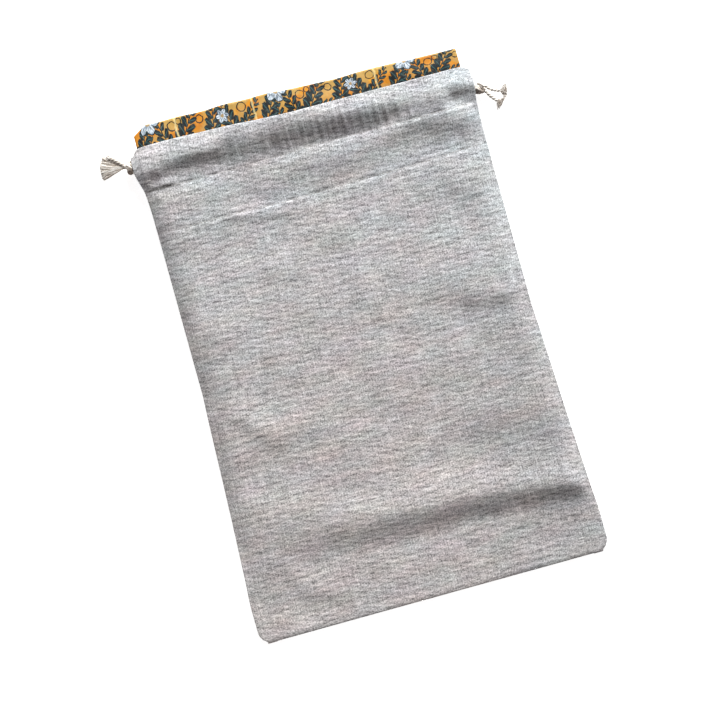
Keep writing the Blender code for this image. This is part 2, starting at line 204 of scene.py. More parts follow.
RIDGE = {
    "x": (-0.146, -0.100, -0.060, -0.020, 0.040, 0.080, 0.120, 0.146),
    "y": (-0.111, -0.117, -0.131, -0.138, -0.1405, -0.1445, -0.1500, -0.1560),
    "height": (0.0, 0.0008, 0.0016, 0.0021, 0.0026, 0.0027, 0.0026, 0.0024),
    "fall": (0.075, 0.056, 0.038, 0.029, 0.026, 0.024, 0.019, 0.017),
}
RIDGE_RISE = 0.018
RIDGE_FALL_SHARE = 0.60
print("bag:", round(MOUTH["y"][0] - BOTTOM, 4), "m high,", 2.0 * SIDES["left"][0], "m wide at the bottom")


# %% Outline and roof
def side_of_bag(x, y):
    """Distance from the centre line to the bag's edge on x's side, its bottom corners rounded."""
    left = smooth_table(y, SIDES["y"], SIDES["left"])
    right = smooth_table(y, SIDES["y"], SIDES["right"])
    side = np.where(x < 0.0, left, right)
    inward = np.clip(CORNER_RADIUS - (y - BOTTOM), 0.0, CORNER_RADIUS)
    return side - (CORNER_RADIUS - np.sqrt(CORNER_RADIUS**2 - inward**2))


def mouth_edge(x):
    return smooth_table(x, MOUTH["x"], MOUTH["y"])


def cord_line(x):
    return smooth_table(x, CORD_LINE["x"], CORD_LINE["y"])


def shoulder(x, y):
    """From 0 at the bag's side edges to 1 where the cloth is level."""
    width = smooth_table(y, ROOF["y"], ROOF["shoulder"])
    roundness = smooth_table(y, ROOF["y"], ROOF["roundness"])
    inward = np.clip(side_of_bag(x, y) - np.abs(x), 0.0, width)
    return 1.0 - (1.0 - inward / width) ** roundness


def hollow_level(x, y):
    """Height over the wrap, sagging towards the mouth's ends, and falling below the ridge."""
    crest = smooth_table(x, RIDGE["x"], RIDGE["y"])
    fall = smooth_table(x, RIDGE["x"], RIDGE["fall"])
    sag = smooth_table(x, HEADER_SAG["x"], HEADER_SAG["drop"])
    sag_share = smooth_step((y - HEADER_SAG_START) / (HEADER_SAG_FULL - HEADER_SAG_START))
    filled = smooth_table(y, ROOF["y"], ROOF["middle"]) - sag * sag_share
    empty = smooth_table(y, LOWER_END["y"], LOWER_END["z"])
    return empty + (filled - empty) * smooth_step(1.0 + (y - crest) / fall)


def ridge_height(x, y):
    """The ridge over the wrap's lower edge, steeper on its lower side."""
    crest = smooth_table(x, RIDGE["x"], RIDGE["y"])
    height = smooth_table(x, RIDGE["x"], RIDGE["height"])
    fall = smooth_table(x, RIDGE["x"], RIDGE["fall"])
    width = np.where(y > crest, RIDGE_RISE, RIDGE_FALL_SHARE * fall)
    return height * bell(y - crest, width)


def roof(x, y):
    """Top of the bag's hollow, before the smaller folds."""
    edge = smooth_table(y, ROOF["y"], ROOF["edge"])
    return edge + (hollow_level(x, y) + ridge_height(x, y) - edge) * shoulder(x, y)


# %% [markdown]
# ## The main folds
#
# Each fold is a soft ridge or trough between two given places: the ridge over the wrap's
# lower edge, the roll over the drawcord, the stitched lines and the gathers across the channel.
# A ridge that falls off faster on one side has its own width there.

# %% Folds of the front
MILLIMETRE = 0.001
CREST_OFFSET = 0.7


def crease(start, end, height, fall, rise, fade=9.0):
    """A fold, in millimetres. Its steepest side lies along the line from start to end."""
    return {"start": start, "end": end, "height": height, "fall": fall, "rise": rise, "fade": fade}


FOLDS = (
    crease((90, 5), (121, 1), 2.3, 8.0, 34.0),
    crease((64, 22), (92, 10), 0.8, 11.0, 26.0),
    crease((-121, -30), (-90, -64), 1.5, 6.5, 15.0, 7.0),
    crease((84, 108), (104, 50), -0.7, 5.0, 12.0),
    crease((90, 98), (114, 88), 1.5, 10.0, 24.0),
    crease((-90, 76), (-44, 64), 0.6, 6.0, 12.0),
    crease((-8, 108), (18, 66), 0.6, 7.0, 14.0),
    crease((18, 66), (16, 32), 0.6, 8.0, 12.0),
    crease((-120, 92), (-44, 88), -1.5, 34.0, 20.0, 20.0),
    crease((-132, 107), (-74, 104), 1.0, 24.0, 15.0, 14.0),
    crease((-74, 121), (-44, 115), 1.0, 4.0, 7.0),
    crease((-40, 113), (-16, 111), 0.4, 5.0, 9.0),
    crease((-128, 36), (-104, 22), 1.2, 15.0, 22.0),
    crease((70, -98), (136, -104), 2.2, 20.0, 60.0, 20.0),
    crease((-110, -165), (-102, -184), 0.7, 6.0, 12.0),
    crease((-100, -187), (-70, -195), 0.8, 6.0, 12.0),
    crease((-96, -166), (-62, -166), -0.6, 9.0, 12.0),
    crease((104, -213), (109, -190), 0.45, 2.6, 6.0, 4.0),
    crease((-138, 160.5), (-118, 160.5), 1.5, 3.2, 4.0, 5.0),
    crease((-138, 152.5), (-129, 152), 1.3, 3.0, 4.0, 4.0),
    crease((-138, 129), (-124, 129), 1.0, 4.0, 12.0, 6.0),
    crease((-138, 172), (-122, 172), 0.9, 5.0, 4.0, 5.0),
    crease((124, 174), (138, 171), 1.4, 6.0, 5.0, 5.0),
    crease((-134, 113), (-20, 110), 0.7, 15.0, 5.0),
    crease((20, 110), (134, 113), 0.7, 15.0, 5.0),
)
print("folds set by hand:", len(FOLDS))

# %% Ridge, gathers and roll in the hem
HEADER_RIDGE = {  # between the hem's two rows of stitches
    "x": (
        -0.140, -0.118, -0.096, -0.060, -0.046, -0.034, -0.018,
        0.000, 0.045, 0.066, 0.088, 0.106, 0.120, 0.140,
    ),
    "y": (
        0.149, 0.149, 0.150, 0.150, 0.152, 0.153, 0.153,
        0.153, 0.154, 0.156, 0.159, 0.159, 0.155, 0.151,
    ),
    "height": (
        0.0008, 0.0008, 0.0004, 0.0000, 0.0006, 0.0000, 0.0008,
        0.0018, 0.0016, 0.0026, 0.0040, 0.0052, 0.0046, 0.0030,
    ),
    "fall": (
        0.014, 0.014, 0.020, 0.020, 0.012, 0.014, 0.012,
        0.018, 0.017, 0.009, 0.0095, 0.015, 0.014, 0.010,
    ),
    "rise": (
        0.006, 0.006, 0.009, 0.008, 0.006, 0.006, 0.008,
        0.008, 0.008, 0.007, 0.012, 0.024, 0.0095, 0.0095,
    ),
}
GATHERS = {  # upright puckers below the roll, in millimetres
    "x": (-96, -60, -22, -16, -9, -3, 5, 12, 18, 24, 31, 38, 45, 51, 58, 65, 75, 84, 97),
    "lean": (4, 3, -1, 1, 0, 1, -1, 0, 1, 0, -1, 1, 0, -1, 1, 0, 1, 2, 3),
    "width": (
        2.4, 3.0, 1.3, 1.2, 1.6, 1.1, 1.5, 1.3, 1.1, 1.5,
        1.3, 1.4, 1.2, 1.3, 1.7, 1.4, 1.8, 1.6, 3.0,
    ),
    "height": (
        0.6, 0.6, 0.7, 0.9, 0.6, 1.0, 0.7, 0.9, 0.7, 0.7,
        1.4, 0.6, 0.9, 0.7, 1.2, 1.3, 1.2, 1.5, 0.8,
    ),
}
GATHER_MIDDLE, GATHER_REACH = 0.30, 0.26  # shares of the way from the channel line to the mouth
GATHERS_AT_MOUTH = 0.35
SMALL_GATHERS = 60
SWELL = {  # the roll over the drawcord: its crest above the cord, its reach below that, its height
    "x": (
        -0.142, -0.122, -0.112, -0.100, -0.080, -0.052, -0.038, -0.022,
        0.002, 0.022, 0.056, 0.084, 0.106, 0.122, 0.142,
    ),
    "crest": (
        0.002, 0.002, 0.001, 0.001, 0.001, 0.007, 0.004, 0.005,
        0.003, 0.000, -0.002, -0.002, -0.001, 0.000, 0.001,
    ),
    "reach": (
        0.024, 0.023, 0.015, 0.011, 0.014, 0.026, 0.023, 0.023,
        0.023, 0.020, 0.019, 0.017, 0.016, 0.012, 0.014,
    ),
    "height": (
        0.0042, 0.0042, 0.0036, 0.0038, 0.0047, 0.0045, 0.0033, 0.0047,
        0.0051, 0.0053, 0.0050, 0.0036, 0.0028, 0.0040, 0.0040,
    ),
}
CORD_REACH_UP = 0.020
print("gathers set by hand:", len(GATHERS["x"]), "and small ones:", SMALL_GATHERS)

# %% Thickness, hem lines and slow waves
CLOTH = 0.0010
HEM_CLOTH = 0.0016
HEM_STEP = 0.0120
HEM_SAG = 0.0023
HEM_HALF_WIDTH = 0.137
HEM_WOBBLE, CHANNEL_WOBBLE = 0.0004, 0.0006
STITCH_DIP = 0.00042
STITCH_DIP_WIDTH = 0.0013
STITCH_PUCKER = 0.00012
STITCH_PUCKER_WIDTH = 0.0050
RELIEF = (
    {"height": 0.00024, "seed": 21, "wavelength": 0.085, "stretch": (1.0, 0.75)},
    {"height": 0.00010, "seed": 22, "wavelength": 0.030, "stretch": (1.4, 0.9)},
    {"height": 0.000035, "seed": 23, "wavelength": 0.0095, "stretch": (1.5, 0.9)},
)
SEAM_PULL = 0.00016
SEAM_PULL_PLACE, SEAM_PULL_WIDTH = 0.004, 0.006


def lopsided(distance, rise, fall):
    """A rounded ridge with its own width on each side."""
    return bell(distance, np.where(distance > 0.0, rise, fall))


def fold_shape(x, y, fold):
    """Height of one fold of the table."""
    start, end = MILLIMETRE * np.array(fold["start"]), MILLIMETRE * np.array(fold["end"])
    fall, rise, fade = (MILLIMETRE * fold[key] for key in ("fall", "rise", "fade"))
    length = np.hypot(*(end - start))
    way = (end - start) / length
    along = (x - start[0]) * way[0] + (y - start[1]) * way[1]
    above = ((y - start[1]) * way[0] - (x - start[0]) * way[1]) * np.sign(way[0])
    beyond = np.clip(-along, 0.0, None) + np.clip(along - length, 0.0, None)
    height = MILLIMETRE * fold["height"] * lopsided(above - CREST_OFFSET * fall, rise, fall)
    return height * bell(beyond, fade)


def header_ridge(x, y):
    """The fold that runs along the hem between its two rows of stitches."""
    crest, height, fall, rise = (
        smooth_table(x, HEADER_RIDGE["x"], HEADER_RIDGE[key]) for key in ("y", "height", "fall", "rise")
    )
    return height * lopsided(y - crest, rise, fall)


def hem_line(x):
    """The stitched lower edge of the hem, which sags a little in the middle."""
    return HEM_LINE + HEM_SAG * (x / HEM_HALF_WIDTH) ** 2 + HEM_WOBBLE * np.sin(x * 61.0)


def channel_line(x):
    """The row of stitches below the drawcord."""
    return CHANNEL_LINE + CHANNEL_WOBBLE * np.sin(x * 37.0 + 1.0)


def gather_height(x, y):
    """Upright puckers across the valley below the roll, which go on faintly to the mouth."""
    up = (y - channel_line(x)) / (mouth_edge(x) - channel_line(x))
    to_mouth = smooth_step((up - GATHER_MIDDLE) / GATHER_MIDDLE)
    fade = bell(up - GATHER_MIDDLE, GATHER_REACH) + GATHERS_AT_MOUTH * to_mouth
    total = np.zeros(np.broadcast(x, y).shape)
    for place, lean, width, height in zip(*GATHERS.values()):
        across = x - MILLIMETRE * (place + lean * (up - 0.4))
        total += MILLIMETRE * height * bell(across, MILLIMETRE * width)
    dice = np.random.default_rng(5)
    for _ in range(SMALL_GATHERS):
        place, lean = dice.uniform(-0.134, 0.132), dice.uniform(-0.003, 0.003)
        width, height = dice.uniform(0.0010, 0.0026), dice.uniform(-0.0004, 0.0005)
        total += height * bell(x - place - lean * (up - 0.5), width)
    return total * fade


def cord_swell(x, y):
    """The roll of cloth over the front drawcord."""
    above = y - cord_line(x) - smooth_table(x, SWELL["x"], SWELL["crest"])
    reach = np.where(above > 0.0, CORD_REACH_UP, smooth_table(x, SWELL["x"], SWELL["reach"]))
    share = np.clip(np.abs(above) / reach, 0.0, 1.0)
    return smooth_table(x, SWELL["x"], SWELL["height"]) * np.cos(share * np.pi / 2.0) ** 2


def stitched_dips(x, y):
    """Both rows of stitches pull the cloth down, with small puckers beside them."""
    dips = np.zeros(np.broadcast(x, y).shape)
    for line, seed in ((hem_line, 11), (channel_line, 12)):
        pull = 1.0 + 0.5 * ripple(x, 0.0 * y, seed, 0.011)
        dips -= STITCH_DIP * pull * bell(y - line(x), STITCH_DIP_WIDTH)
        puckers = STITCH_PUCKER * ripple(x, 0.0 * y, seed + 5, 0.0085)
        dips += puckers * bell(y - line(x), STITCH_PUCKER_WIDTH)
    return dips


def soft_relief(x, y):
    """Slow waves of a cloth that has been folded, ironed and handled, and puckers at its seams."""
    total = np.zeros(np.broadcast(x, y).shape)
    for waves in RELIEF:
        shape = ripple(x, y, waves["seed"], waves["wavelength"], waves["stretch"])
        total = total + waves["height"] * shape
    inward = side_of_bag(x, y) - np.abs(x)
    seam_pull = SEAM_PULL * ripple(0.3 * x, y, 24, 0.0085)
    return total + seam_pull * bell(inward - SEAM_PULL_PLACE, SEAM_PULL_WIDTH)


def front_height(x, y):
    """The outer face of the front cloth."""
    hem = smooth_step((y - hem_line(x)) / HEM_STEP + 0.5)
    folds = gather_height(x, y) + header_ridge(x, y) + soft_relief(x, y)
    for fold in FOLDS:
        folds = folds + fold_shape(x, y, fold)
    level = roof(x, y) + CLOTH + (HEM_CLOTH - CLOTH) * hem + cord_swell(x, y) + stitched_dips(x, y)
    return level + folds * shoulder(x, y) ** 0.7


print("front height over the middle:", round(float(front_height(np.array(0.0), np.array(0.0))), 4))

# %% [markdown]
# ## Helpers for meshes
#
# Cloth starts as one flat grid from a bmesh operator, as it is cut. Its faces are made smaller
# where the folds are small. Then each point is laid where a table of places says, and the UV map
# keeps where the point was on the flat cloth, so that a weave or a print follows every fold.

# %% Mesh helpers
CLOTH_MAP = "cloth"


def finish_mesh(mesh, name):
    """Write a bmesh out as a smooth object at the origin."""
    data = bpy.data.meshes.new(name)
    mesh.to_mesh(data)
    mesh.free()
    data.shade_smooth()
    piece = bpy.data.objects.new(name, data)
    scene.collection.objects.link(piece)
    return piece


def lay_cloth(name, places, flat, is_fine):
    """A sheet through places[row, column]. Where is_fine(row) is false, every second one is used."""
    rows, columns = places.shape[:2]
    mesh = bmesh.new()
    uv = mesh.loops.layers.uv.new(CLOTH_MAP)
    bmesh.ops.create_grid(mesh, x_segments=(columns - 1) // 2, y_segments=(rows - 1) // 2, size=1.0)

    def spot(point):
        """The row and the column of a point of the flat grid."""
        return round((point.y + 1.0) / 2.0 * (rows - 1)), round((point.x + 1.0) / 2.0 * (columns - 1))

    fine_faces = [face for face in mesh.faces if is_fine(spot(face.calc_center_median())[0])]
    fine_edges = {edge for face in fine_faces for edge in face.edges}
    bmesh.ops.subdivide_edges(mesh, edges=list(fine_edges), cuts=1, use_grid_fill=True)
    for face in mesh.faces:
        for loop in face.loops:
            loop[uv].uv = flat[spot(loop.vert.co)]
    for vertex in mesh.verts:
        vertex.co = places[spot(vertex.co)]
    return finish_mesh(mesh, name)


def lengths_along(points):
    steps = np.linalg.norm(np.diff(points, axis=0), axis=1)
    return np.concatenate(([0.0], np.cumsum(steps)))


def flat_places(places):
    """Where each point of a laid sheet is on the flat cloth, and the flat cloth's size."""
    along = lengths_along(places[:, places.shape[1] // 2])
    across = lengths_along(places[places.shape[0] // 2])
    u, v = np.meshgrid(across, along)
    return np.dstack((u, v)), (float(across[-1]), float(along[-1]))


def thicken(piece, thickness, offset):
    """Give a sheet its wall: offset -1 lays it inside the sheet, 0 on both sides."""
    wall = piece.modifiers.new("thickness", "SOLIDIFY")
    wall.thickness = thickness
    wall.offset = offset
    wall.use_even_offset = False


# %% [markdown]
# ## The drawcords
#
# The real cords are soft cotton, laid from three strands. A round tube would look like wire, so
# each cord is a cylinder whose cross-section has three lobes, and the lobes turn along the route.
# One cord lies in the front channel and one in the back channel.

# %% Ropes along a route
CORD_RADIUS = 0.0016
CORD_PITCH = 0.0085
STRANDS = 3
STRAND_PLACE, STRAND_RADIUS = 0.46, 0.54  # shares of the cord's radius
UPWARDS = (0.0, 0.0, 1.0)
CROWN = "crown"
LAID = "laid"


def strand_shape(angle):
    """Radius of three touching strands round a cord's middle, and 1 on a strand, 0 between two."""
    turn = 2.0 * np.pi / STRANDS
    off = np.mod(angle, turn) - 0.5 * turn
    inner = np.sqrt(STRAND_RADIUS**2 - (STRAND_PLACE * np.sin(off)) ** 2)
    return STRAND_PLACE * np.cos(off) + inner, np.cos(off * np.pi / turn)


def is_lengthwise(edge):
    """Whether an edge runs from one end of a new cylinder to the other."""
    return abs(edge.verts[0].co.z - edge.verts[1].co.z) > 1.0


def lay_rope(
    mesh, route, radius, around=18, pitch=CORD_PITCH, taper=None, tone=None, up=UPWARDS, lightness=1.0
):
    """Add a cord along a route: a round thread if it has a tone, darker where lightness is below 1."""
    crown = mesh.verts.layers.float.get(CROWN) or mesh.verts.layers.float.new(CROWN)
    laid = mesh.verts.layers.int.get(LAID) or mesh.verts.layers.int.new(LAID)
    route = np.asarray(route, float)
    steps = len(route) - 1
    made = bmesh.ops.create_cone(mesh, cap_ends=True, segments=around, radius1=1.0, radius2=1.0, depth=2.0)
    long_edges = {edge for vertex in made["verts"] for edge in vertex.link_edges if is_lengthwise(edge)}
    bmesh.ops.subdivide_edges(mesh, edges=list(long_edges), cuts=steps - 1)
    forward = np.gradient(route, axis=0)
    forward /= np.linalg.norm(forward, axis=1)[:, None]
    side = np.cross(forward, up)
    side /= np.linalg.norm(side, axis=1)[:, None]
    top = np.cross(side, forward)
    along = lengths_along(route)
    for vertex in mesh.verts:
        if vertex[laid]:
            continue
        angle = np.arctan2(vertex.co.y, vertex.co.x)
        i = round((vertex.co.z + 1.0) / 2.0 * steps)
        twist = 2.0 * np.pi * along[i] / pitch
        lobe, height = (1.0, tone) if tone is not None else strand_shape(angle - twist)
        reach = radius * lobe * (taper[i] if taper is not None else 1.0)
        vertex.co = route[i] + reach * (np.cos(angle) * side[i] + np.sin(angle) * top[i])
        vertex[crown] = height * lightness
        vertex[laid] = 1


def smooth_route(points, count):
    """A smooth line of evenly spaced places through a few given points."""
    points = np.array(points, float)
    along = lengths_along(points)
    at = np.linspace(0.0, along[-1], count)
    return np.column_stack([smooth_table(at, along, points[:, axis]) for axis in range(3)])


# %% Front and back drawcords
LEFT_KNOT_X, RIGHT_KNOT_X = -0.1460, 0.1434
KNOT_WIDTH = 0.0068
KNOT_GAP = 0.0003
CORD_STEP = 0.001
CHANNEL_HEIGHT = {"front": 0.0031, "back": 0.0030}


def drawcord_route(side):
    """From knot to knot, over the hollow in front and near the table behind."""
    left = LEFT_KNOT_X + 0.5 * KNOT_WIDTH + KNOT_GAP
    right = RIGHT_KNOT_X - 0.5 * KNOT_WIDTH - KNOT_GAP
    x = np.linspace(left, right, round((right - left) / CORD_STEP) + 1)
    y = cord_line(x)
    lift = roof(x, y) if side == "front" else 0.0
    return np.column_stack((x, y, CHANNEL_HEIGHT[side] + lift + 0.0 * x))


cord_pieces = {}
cord_routes = {}
for side in ("front", "back"):
    cord_mesh = bmesh.new()
    cord_routes[side] = drawcord_route(side)
    lay_rope(cord_mesh, cord_routes[side], CORD_RADIUS)
    cord_pieces[side] = finish_mesh(cord_mesh, f"drawcord_{side}_rope")
    print(side, "drawcord:", round(float(lengths_along(cord_routes[side])[-1]), 4), "m")

# %% [markdown]
# ## Knots
#
# At each side both cords are tied together in one overhand knot. Pulled tight, it is a small lump
# of three loops, which is the curve that mathematicians call a trefoil. The rope is laid along
# that curve, and the cords that go in and the ends that come out run through its middle.

# %% Overhand knots
KNOT_STEPS = 96
# A knot's lightness below 1 darkens its cord: partly soil, partly painted shade where the knot lies in
# shadow.
KNOT_SHAPES = {  # where the tied loops are, how thick and wide they are, and how they are turned
    "left": {
        "middle": (-0.1442, 0.1834, 0.0064),
        "strand": 0.00180, "loop": 0.0030, "wave": 0.0010, "turn": -0.4, "lightness": 0.80,
    },
    "right": {
        "middle": (0.1430, 0.1706, 0.0064),
        "strand": 0.00175, "loop": 0.0026, "wave": 0.0013, "turn": 0.4, "lightness": 0.95,
    },
}
KNOT_DEPTH, KNOT_HEIGHT = 1.45, 1.15  # shares of the wave and of the loop
LEADS = {  # each cord as it leaves the casing, then where it leaves the knot
    "left": (
        ((-0.1408, 0.1884, 0.0082), (-0.1480, 0.1862, 0.0056)),
        ((-0.1408, 0.1858, 0.0106), (-0.1482, 0.1856, 0.0064)),
        ((-0.1410, 0.1822, 0.0094), (-0.1484, 0.1852, 0.0050)),
        ((-0.1412, 0.1796, 0.0068), (-0.1480, 0.1850, 0.0044)),
        ((-0.1410, 0.1836, 0.0040), (-0.1478, 0.1858, 0.0042)),
    ),
    "right": (
        ((0.1384, 0.1742, 0.0084), (0.1474, 0.1718, 0.0060)),
        ((0.1384, 0.1712, 0.0100), (0.1470, 0.1690, 0.0062)),
        ((0.1384, 0.1684, 0.0060), (0.1466, 0.1676, 0.0044)),
    ),
}
KNOT_TWISTS = 4.0
LEAD_STEPS = 12
LEAD_SAG = 0.0010
LEAD_NARROWING = 0.30
# Painted shade on each knot's lower side, away from the lamp: how dark, where it starts and how far it
# spreads.
KNOT_SHADE = 0.75
KNOT_SHADE_FROM, KNOT_SHADE_WIDTH = 0.0010, 0.0040
knot_pieces = {}


def trefoil(shape):
    """The overhand knot's line, its axis along the cords."""
    t = np.linspace(0.0, 2.0 * np.pi, KNOT_STEPS + 1)
    reach = shape["loop"] + shape["wave"] * np.cos(3.0 * t)
    x = KNOT_DEPTH * shape["wave"] * np.sin(3.0 * t)
    y = reach * np.cos(2.0 * t + shape["turn"])
    z = KNOT_HEIGHT * reach * np.sin(2.0 * t + shape["turn"])
    return np.array(shape["middle"]) + np.column_stack((x, y, z))


for name, shape in KNOT_SHAPES.items():
    knot_mesh = bmesh.new()
    line = trefoil(shape)
    knot_pitch = lengths_along(line)[-1] / KNOT_TWISTS
    lay_rope(knot_mesh, line, shape["strand"], pitch=knot_pitch, up=(1.0, 0.0, 0.0), lightness=shape["lightness"])
    for start, end in LEADS[name]:
        share = np.linspace(0.0, 1.0, LEAD_STEPS + 1)[:, None]
        lead = np.array(start) * (1.0 - share) + np.array(end) * share
        lead[:, 1] -= LEAD_SAG * np.sin(np.pi * share[:, 0])
        narrow = 1.0 - LEAD_NARROWING * smooth_step(share[:, 0])
        lay_rope(knot_mesh, lead, CORD_RADIUS, taper=narrow, lightness=shape["lightness"])
    crown = knot_mesh.verts.layers.float[CROWN]
    for vertex in knot_mesh.verts:  # painted shade: the knot's side away from the lamp is darker
        below = (shape["middle"][1] + KNOT_SHADE_FROM - vertex.co.y) / KNOT_SHADE_WIDTH
        vertex[crown] *= 1.0 - KNOT_SHADE * float(smooth_step(below))
    knot_pieces[name] = finish_mesh(knot_mesh, f"knot_{name}_tied")
    print("knot", name, "faces:", len(knot_pieces[name].data.polygons))

# %% [markdown]
# ## The frayed ends
#
# Past the knots each cut end holds its twist for a while and then comes undone. The lower left
# one comes undone at once, into a wide fan of fine yarns. The others end in short loose brushes.
# Each yarn is a thin round thread with its own reach, curl and tone.

# %% Cut ends
TAILS = {
    "tail_left_upper": {
        "x": (-0.1476, -0.1516, -0.1564, -0.1606),
        "y": (0.1858, 0.1900, 0.1944, 0.1970),
        "z": (0.0060, 0.0046, 0.0036, 0.0030),
        "twisted": 0.80, "fan": 0.0022, "reach": 1.30, "curl": 0.0005,
        "yarns": 60, "lightness": 0.70, "thick": 1.0, "ragged": 0.20,
    },
    "tail_left_lower": {
        "x": (-0.1478, -0.1520, -0.1590, -0.1660),
        "y": (0.1852, 0.1864, 0.1882, 0.1894),
        "z": (0.0048, 0.0034, 0.0022, 0.0017),
        "twisted": 0.06, "fan": 0.0086, "reach": 1.14, "curl": 0.0005,
        "yarns": 300, "lightness": 0.95, "thick": 1.25, "ragged": 0.10,
    },
    "tail_right_upper": {
        "x": (0.1474, 0.1512, 0.1574, 0.1632),
        "y": (0.1718, 0.1678, 0.1650, 0.1636),
        "z": (0.0056, 0.0040, 0.0026, 0.0022),
        "twisted": 0.74, "fan": 0.0036, "reach": 1.30, "curl": 0.0022,
        "yarns": 84, "lightness": 0.90, "thick": 1.0, "ragged": 0.30,
    },
    "tail_right_lower": {
        "x": (0.1466, 0.1500, 0.1536, 0.1570),
        "y": (0.1676, 0.1624, 0.1582, 0.1546),
        "z": (0.0050, 0.0034, 0.0024, 0.0020),
        "twisted": 0.76, "fan": 0.0036, "reach": 1.30, "curl": 0.0022,
        "yarns": 84, "lightness": 0.90, "thick": 1.0, "ragged": 0.30,
    },
}
TAIL_POINTS = 40
TAIL_SEED = 40
STUB_OVERLAP = 6
STUB_TAPER, STUB_TIP = 8.0, 0.30
STUB_HALF_WIDTH, STUB_HALF_HEIGHT = 0.0011, 0.0010
YARN_POINTS = 14
YARN_RADIUS = 0.00020
YARN_PILE = 0.0026
tail_pieces = {}


def build_tail(name, tail, seed):
    """A twisted stub, and the loose yarns that its strands come undone into."""
    dice = np.random.default_rng(seed)
    route = smooth_route(np.column_stack((tail["x"], tail["y"], tail["z"])), TAIL_POINTS)
    mesh = bmesh.new()
    held = int(tail["twisted"] * TAIL_POINTS)
    stub = route[: held + STUB_OVERLAP]
    taper = np.clip((len(stub) - np.arange(len(stub))) / STUB_TAPER, STUB_TIP, 1.0)
    lay_rope(mesh, stub, CORD_RADIUS, taper=taper, lightness=tail["lightness"])
    start = route[held]
    way = route[-1] - start
    length = np.linalg.norm(way)
    across = np.cross(way / length, (0.0, 0.0, 1.0))
    for _ in range(tail["yarns"]):
        spread, lift = dice.uniform(-1.0, 1.0), dice.uniform(0.0, 1.0)
        reach = tail["reach"] * (1.0 - tail["ragged"] * dice.uniform(0.0, 1.0)) * (1.0 - 0.12 * spread**2)
        phase, turns = dice.uniform(0.0, 2.0 * np.pi), dice.uniform(0.6, 1.6)
        t = np.linspace(0.0, 1.0, YARN_POINTS)
        curl = tail["curl"] * t * np.sin(2.0 * np.pi * turns * t + phase)
        off = (STUB_HALF_WIDTH * spread + (tail["fan"] * spread) * t**1.2 + curl)[:, None] * across
        line = start + (t * reach)[:, None] * way + off
        ground = YARN_RADIUS + YARN_PILE * lift * (1.0 - 0.25 * t) + 0.3 * np.abs(curl)
        bulk = np.sqrt(np.clip(1.0 - spread**2, 0.0, 1.0))
        root = start[2] + STUB_HALF_HEIGHT * (2.0 * lift - 1.0)
        height = (1.0 - t) * root + t * ground * (0.4 + 0.6 * bulk)
        line[:, 2] = np.maximum(height, YARN_RADIUS)
        radius = YARN_RADIUS * tail["thick"] * dice.uniform(0.7, 1.3)
        lay_rope(mesh, line, radius, around=5, tone=dice.uniform(0.10, 1.0), lightness=tail["lightness"])
    return finish_mesh(mesh, name + "_frayed")


for seed, (name, tail) in enumerate(TAILS.items()):
    tail_pieces[name] = build_tail(name, tail, TAIL_SEED + seed)
print("yarns at the cut ends:", [tail["yarns"] for tail in TAILS.values()])

# %% [markdown]
# ## The bag
#
# The real bag is one strip of linen. It starts at the raw edge inside the back hem, goes up to the
# mouth, turns over and comes down the back, folds at the bottom, runs up the front, turns over at
# the mouth and ends inside the front hem. Its side edges are turned in at the seams. The strip
# here takes the same way, row by row, so that the folds are folds and not joins.

# %% Sizes of the strip
LINEN_THICKNESS = 0.0005
EDGE_Y = (-0.2144, 0.130, 0.150, 0.170, 0.197)
EDGE_ROUNDING = (0.0010, 0.0010, 0.0016, 0.0026, 0.0024)
SEAM_HEIGHT = (0.0014, 0.0014, 0.0030, 0.0056, 0.0054)
SEAM_PLAY = 0.0003
SEAM_ALLOWANCE = 0.007
SLIT_HALF_LENGTH = 0.0085
SLIT_FRONT = 0.0060
SLIT_BACK = 0.0042
PANEL_COLUMNS = 220
EDGE_COLUMNS = 6
TURNED_COLUMNS = 2
HEM_INSET = 0.0032
HEM_EDGE_BELOW = 0.001
HEM_TOP_GAP = 0.0005
HEM_ROWS = 20
FOLD_ROWS = 5
TURN_REACH = {"back mouth": 0.0007, "bottom": 0.0014, "front mouth": 0.0009}
MOUTH_TOP = 0.1960
MOUTH_INSET = 0.0008
MOUTH_HALF_WIDTH = 0.138
MOUTH_BEND_START = 0.150
MOUTH_CORNER_LEFT, MOUTH_CORNER_RIGHT = 0.0055, 0.0026
FRONT_ROWS = (  # from the bottom fold up
    {"upto": -0.1650, "rows": 36, "fine": False},
    {"upto": -0.1180, "rows": 46, "fine": True},
    {"upto": 0.1130, "rows": 184, "fine": False},
    {"upto": MOUTH_TOP, "rows": 88, "fine": True},
)
PANEL_BOTTOM = -0.2130
BACK_ROWS = 120
BACK_CORD_ROLL = {"low": 0.0014, "rise": 0.0046, "reach": 0.0105}
BACK_HOLLOWS, BACK_DENTS, BACK_STITCHES = 0.0004, 0.00022, 0.0004
BACK_STITCH_WIDTH = 0.0011
TABLE_GAP = 0.00005
HEM_LAYER_DROP = 0.0013
HOLLOW_GAP = 0.0001
PAST_CORD, PAST_CORD_LENGTH = 0.0040, 0.0060
TURNED_EDGE_HEIGHT, TURNED_EDGE_ROUND = 0.0008, 0.0005


# %% Layers of the hem and the back
def follow_mouth(x, y):
    """Rows above the hem bend to end along the mouth's edge, whose corners are rounded."""
    share = np.clip((y - MOUTH_BEND_START) / (MOUTH_TOP - MOUTH_BEND_START), 0.0, 1.0)
    radius = np.where(x < 0.0, MOUTH_CORNER_LEFT, MOUTH_CORNER_RIGHT)
    inward = np.clip(np.abs(x) - MOUTH_HALF_WIDTH + radius, 0.0, radius)
    corner = radius - np.sqrt(radius**2 - inward**2)
    return y + share * (mouth_edge(x) - MOUTH_INSET - MOUTH_TOP - share**2 * corner)


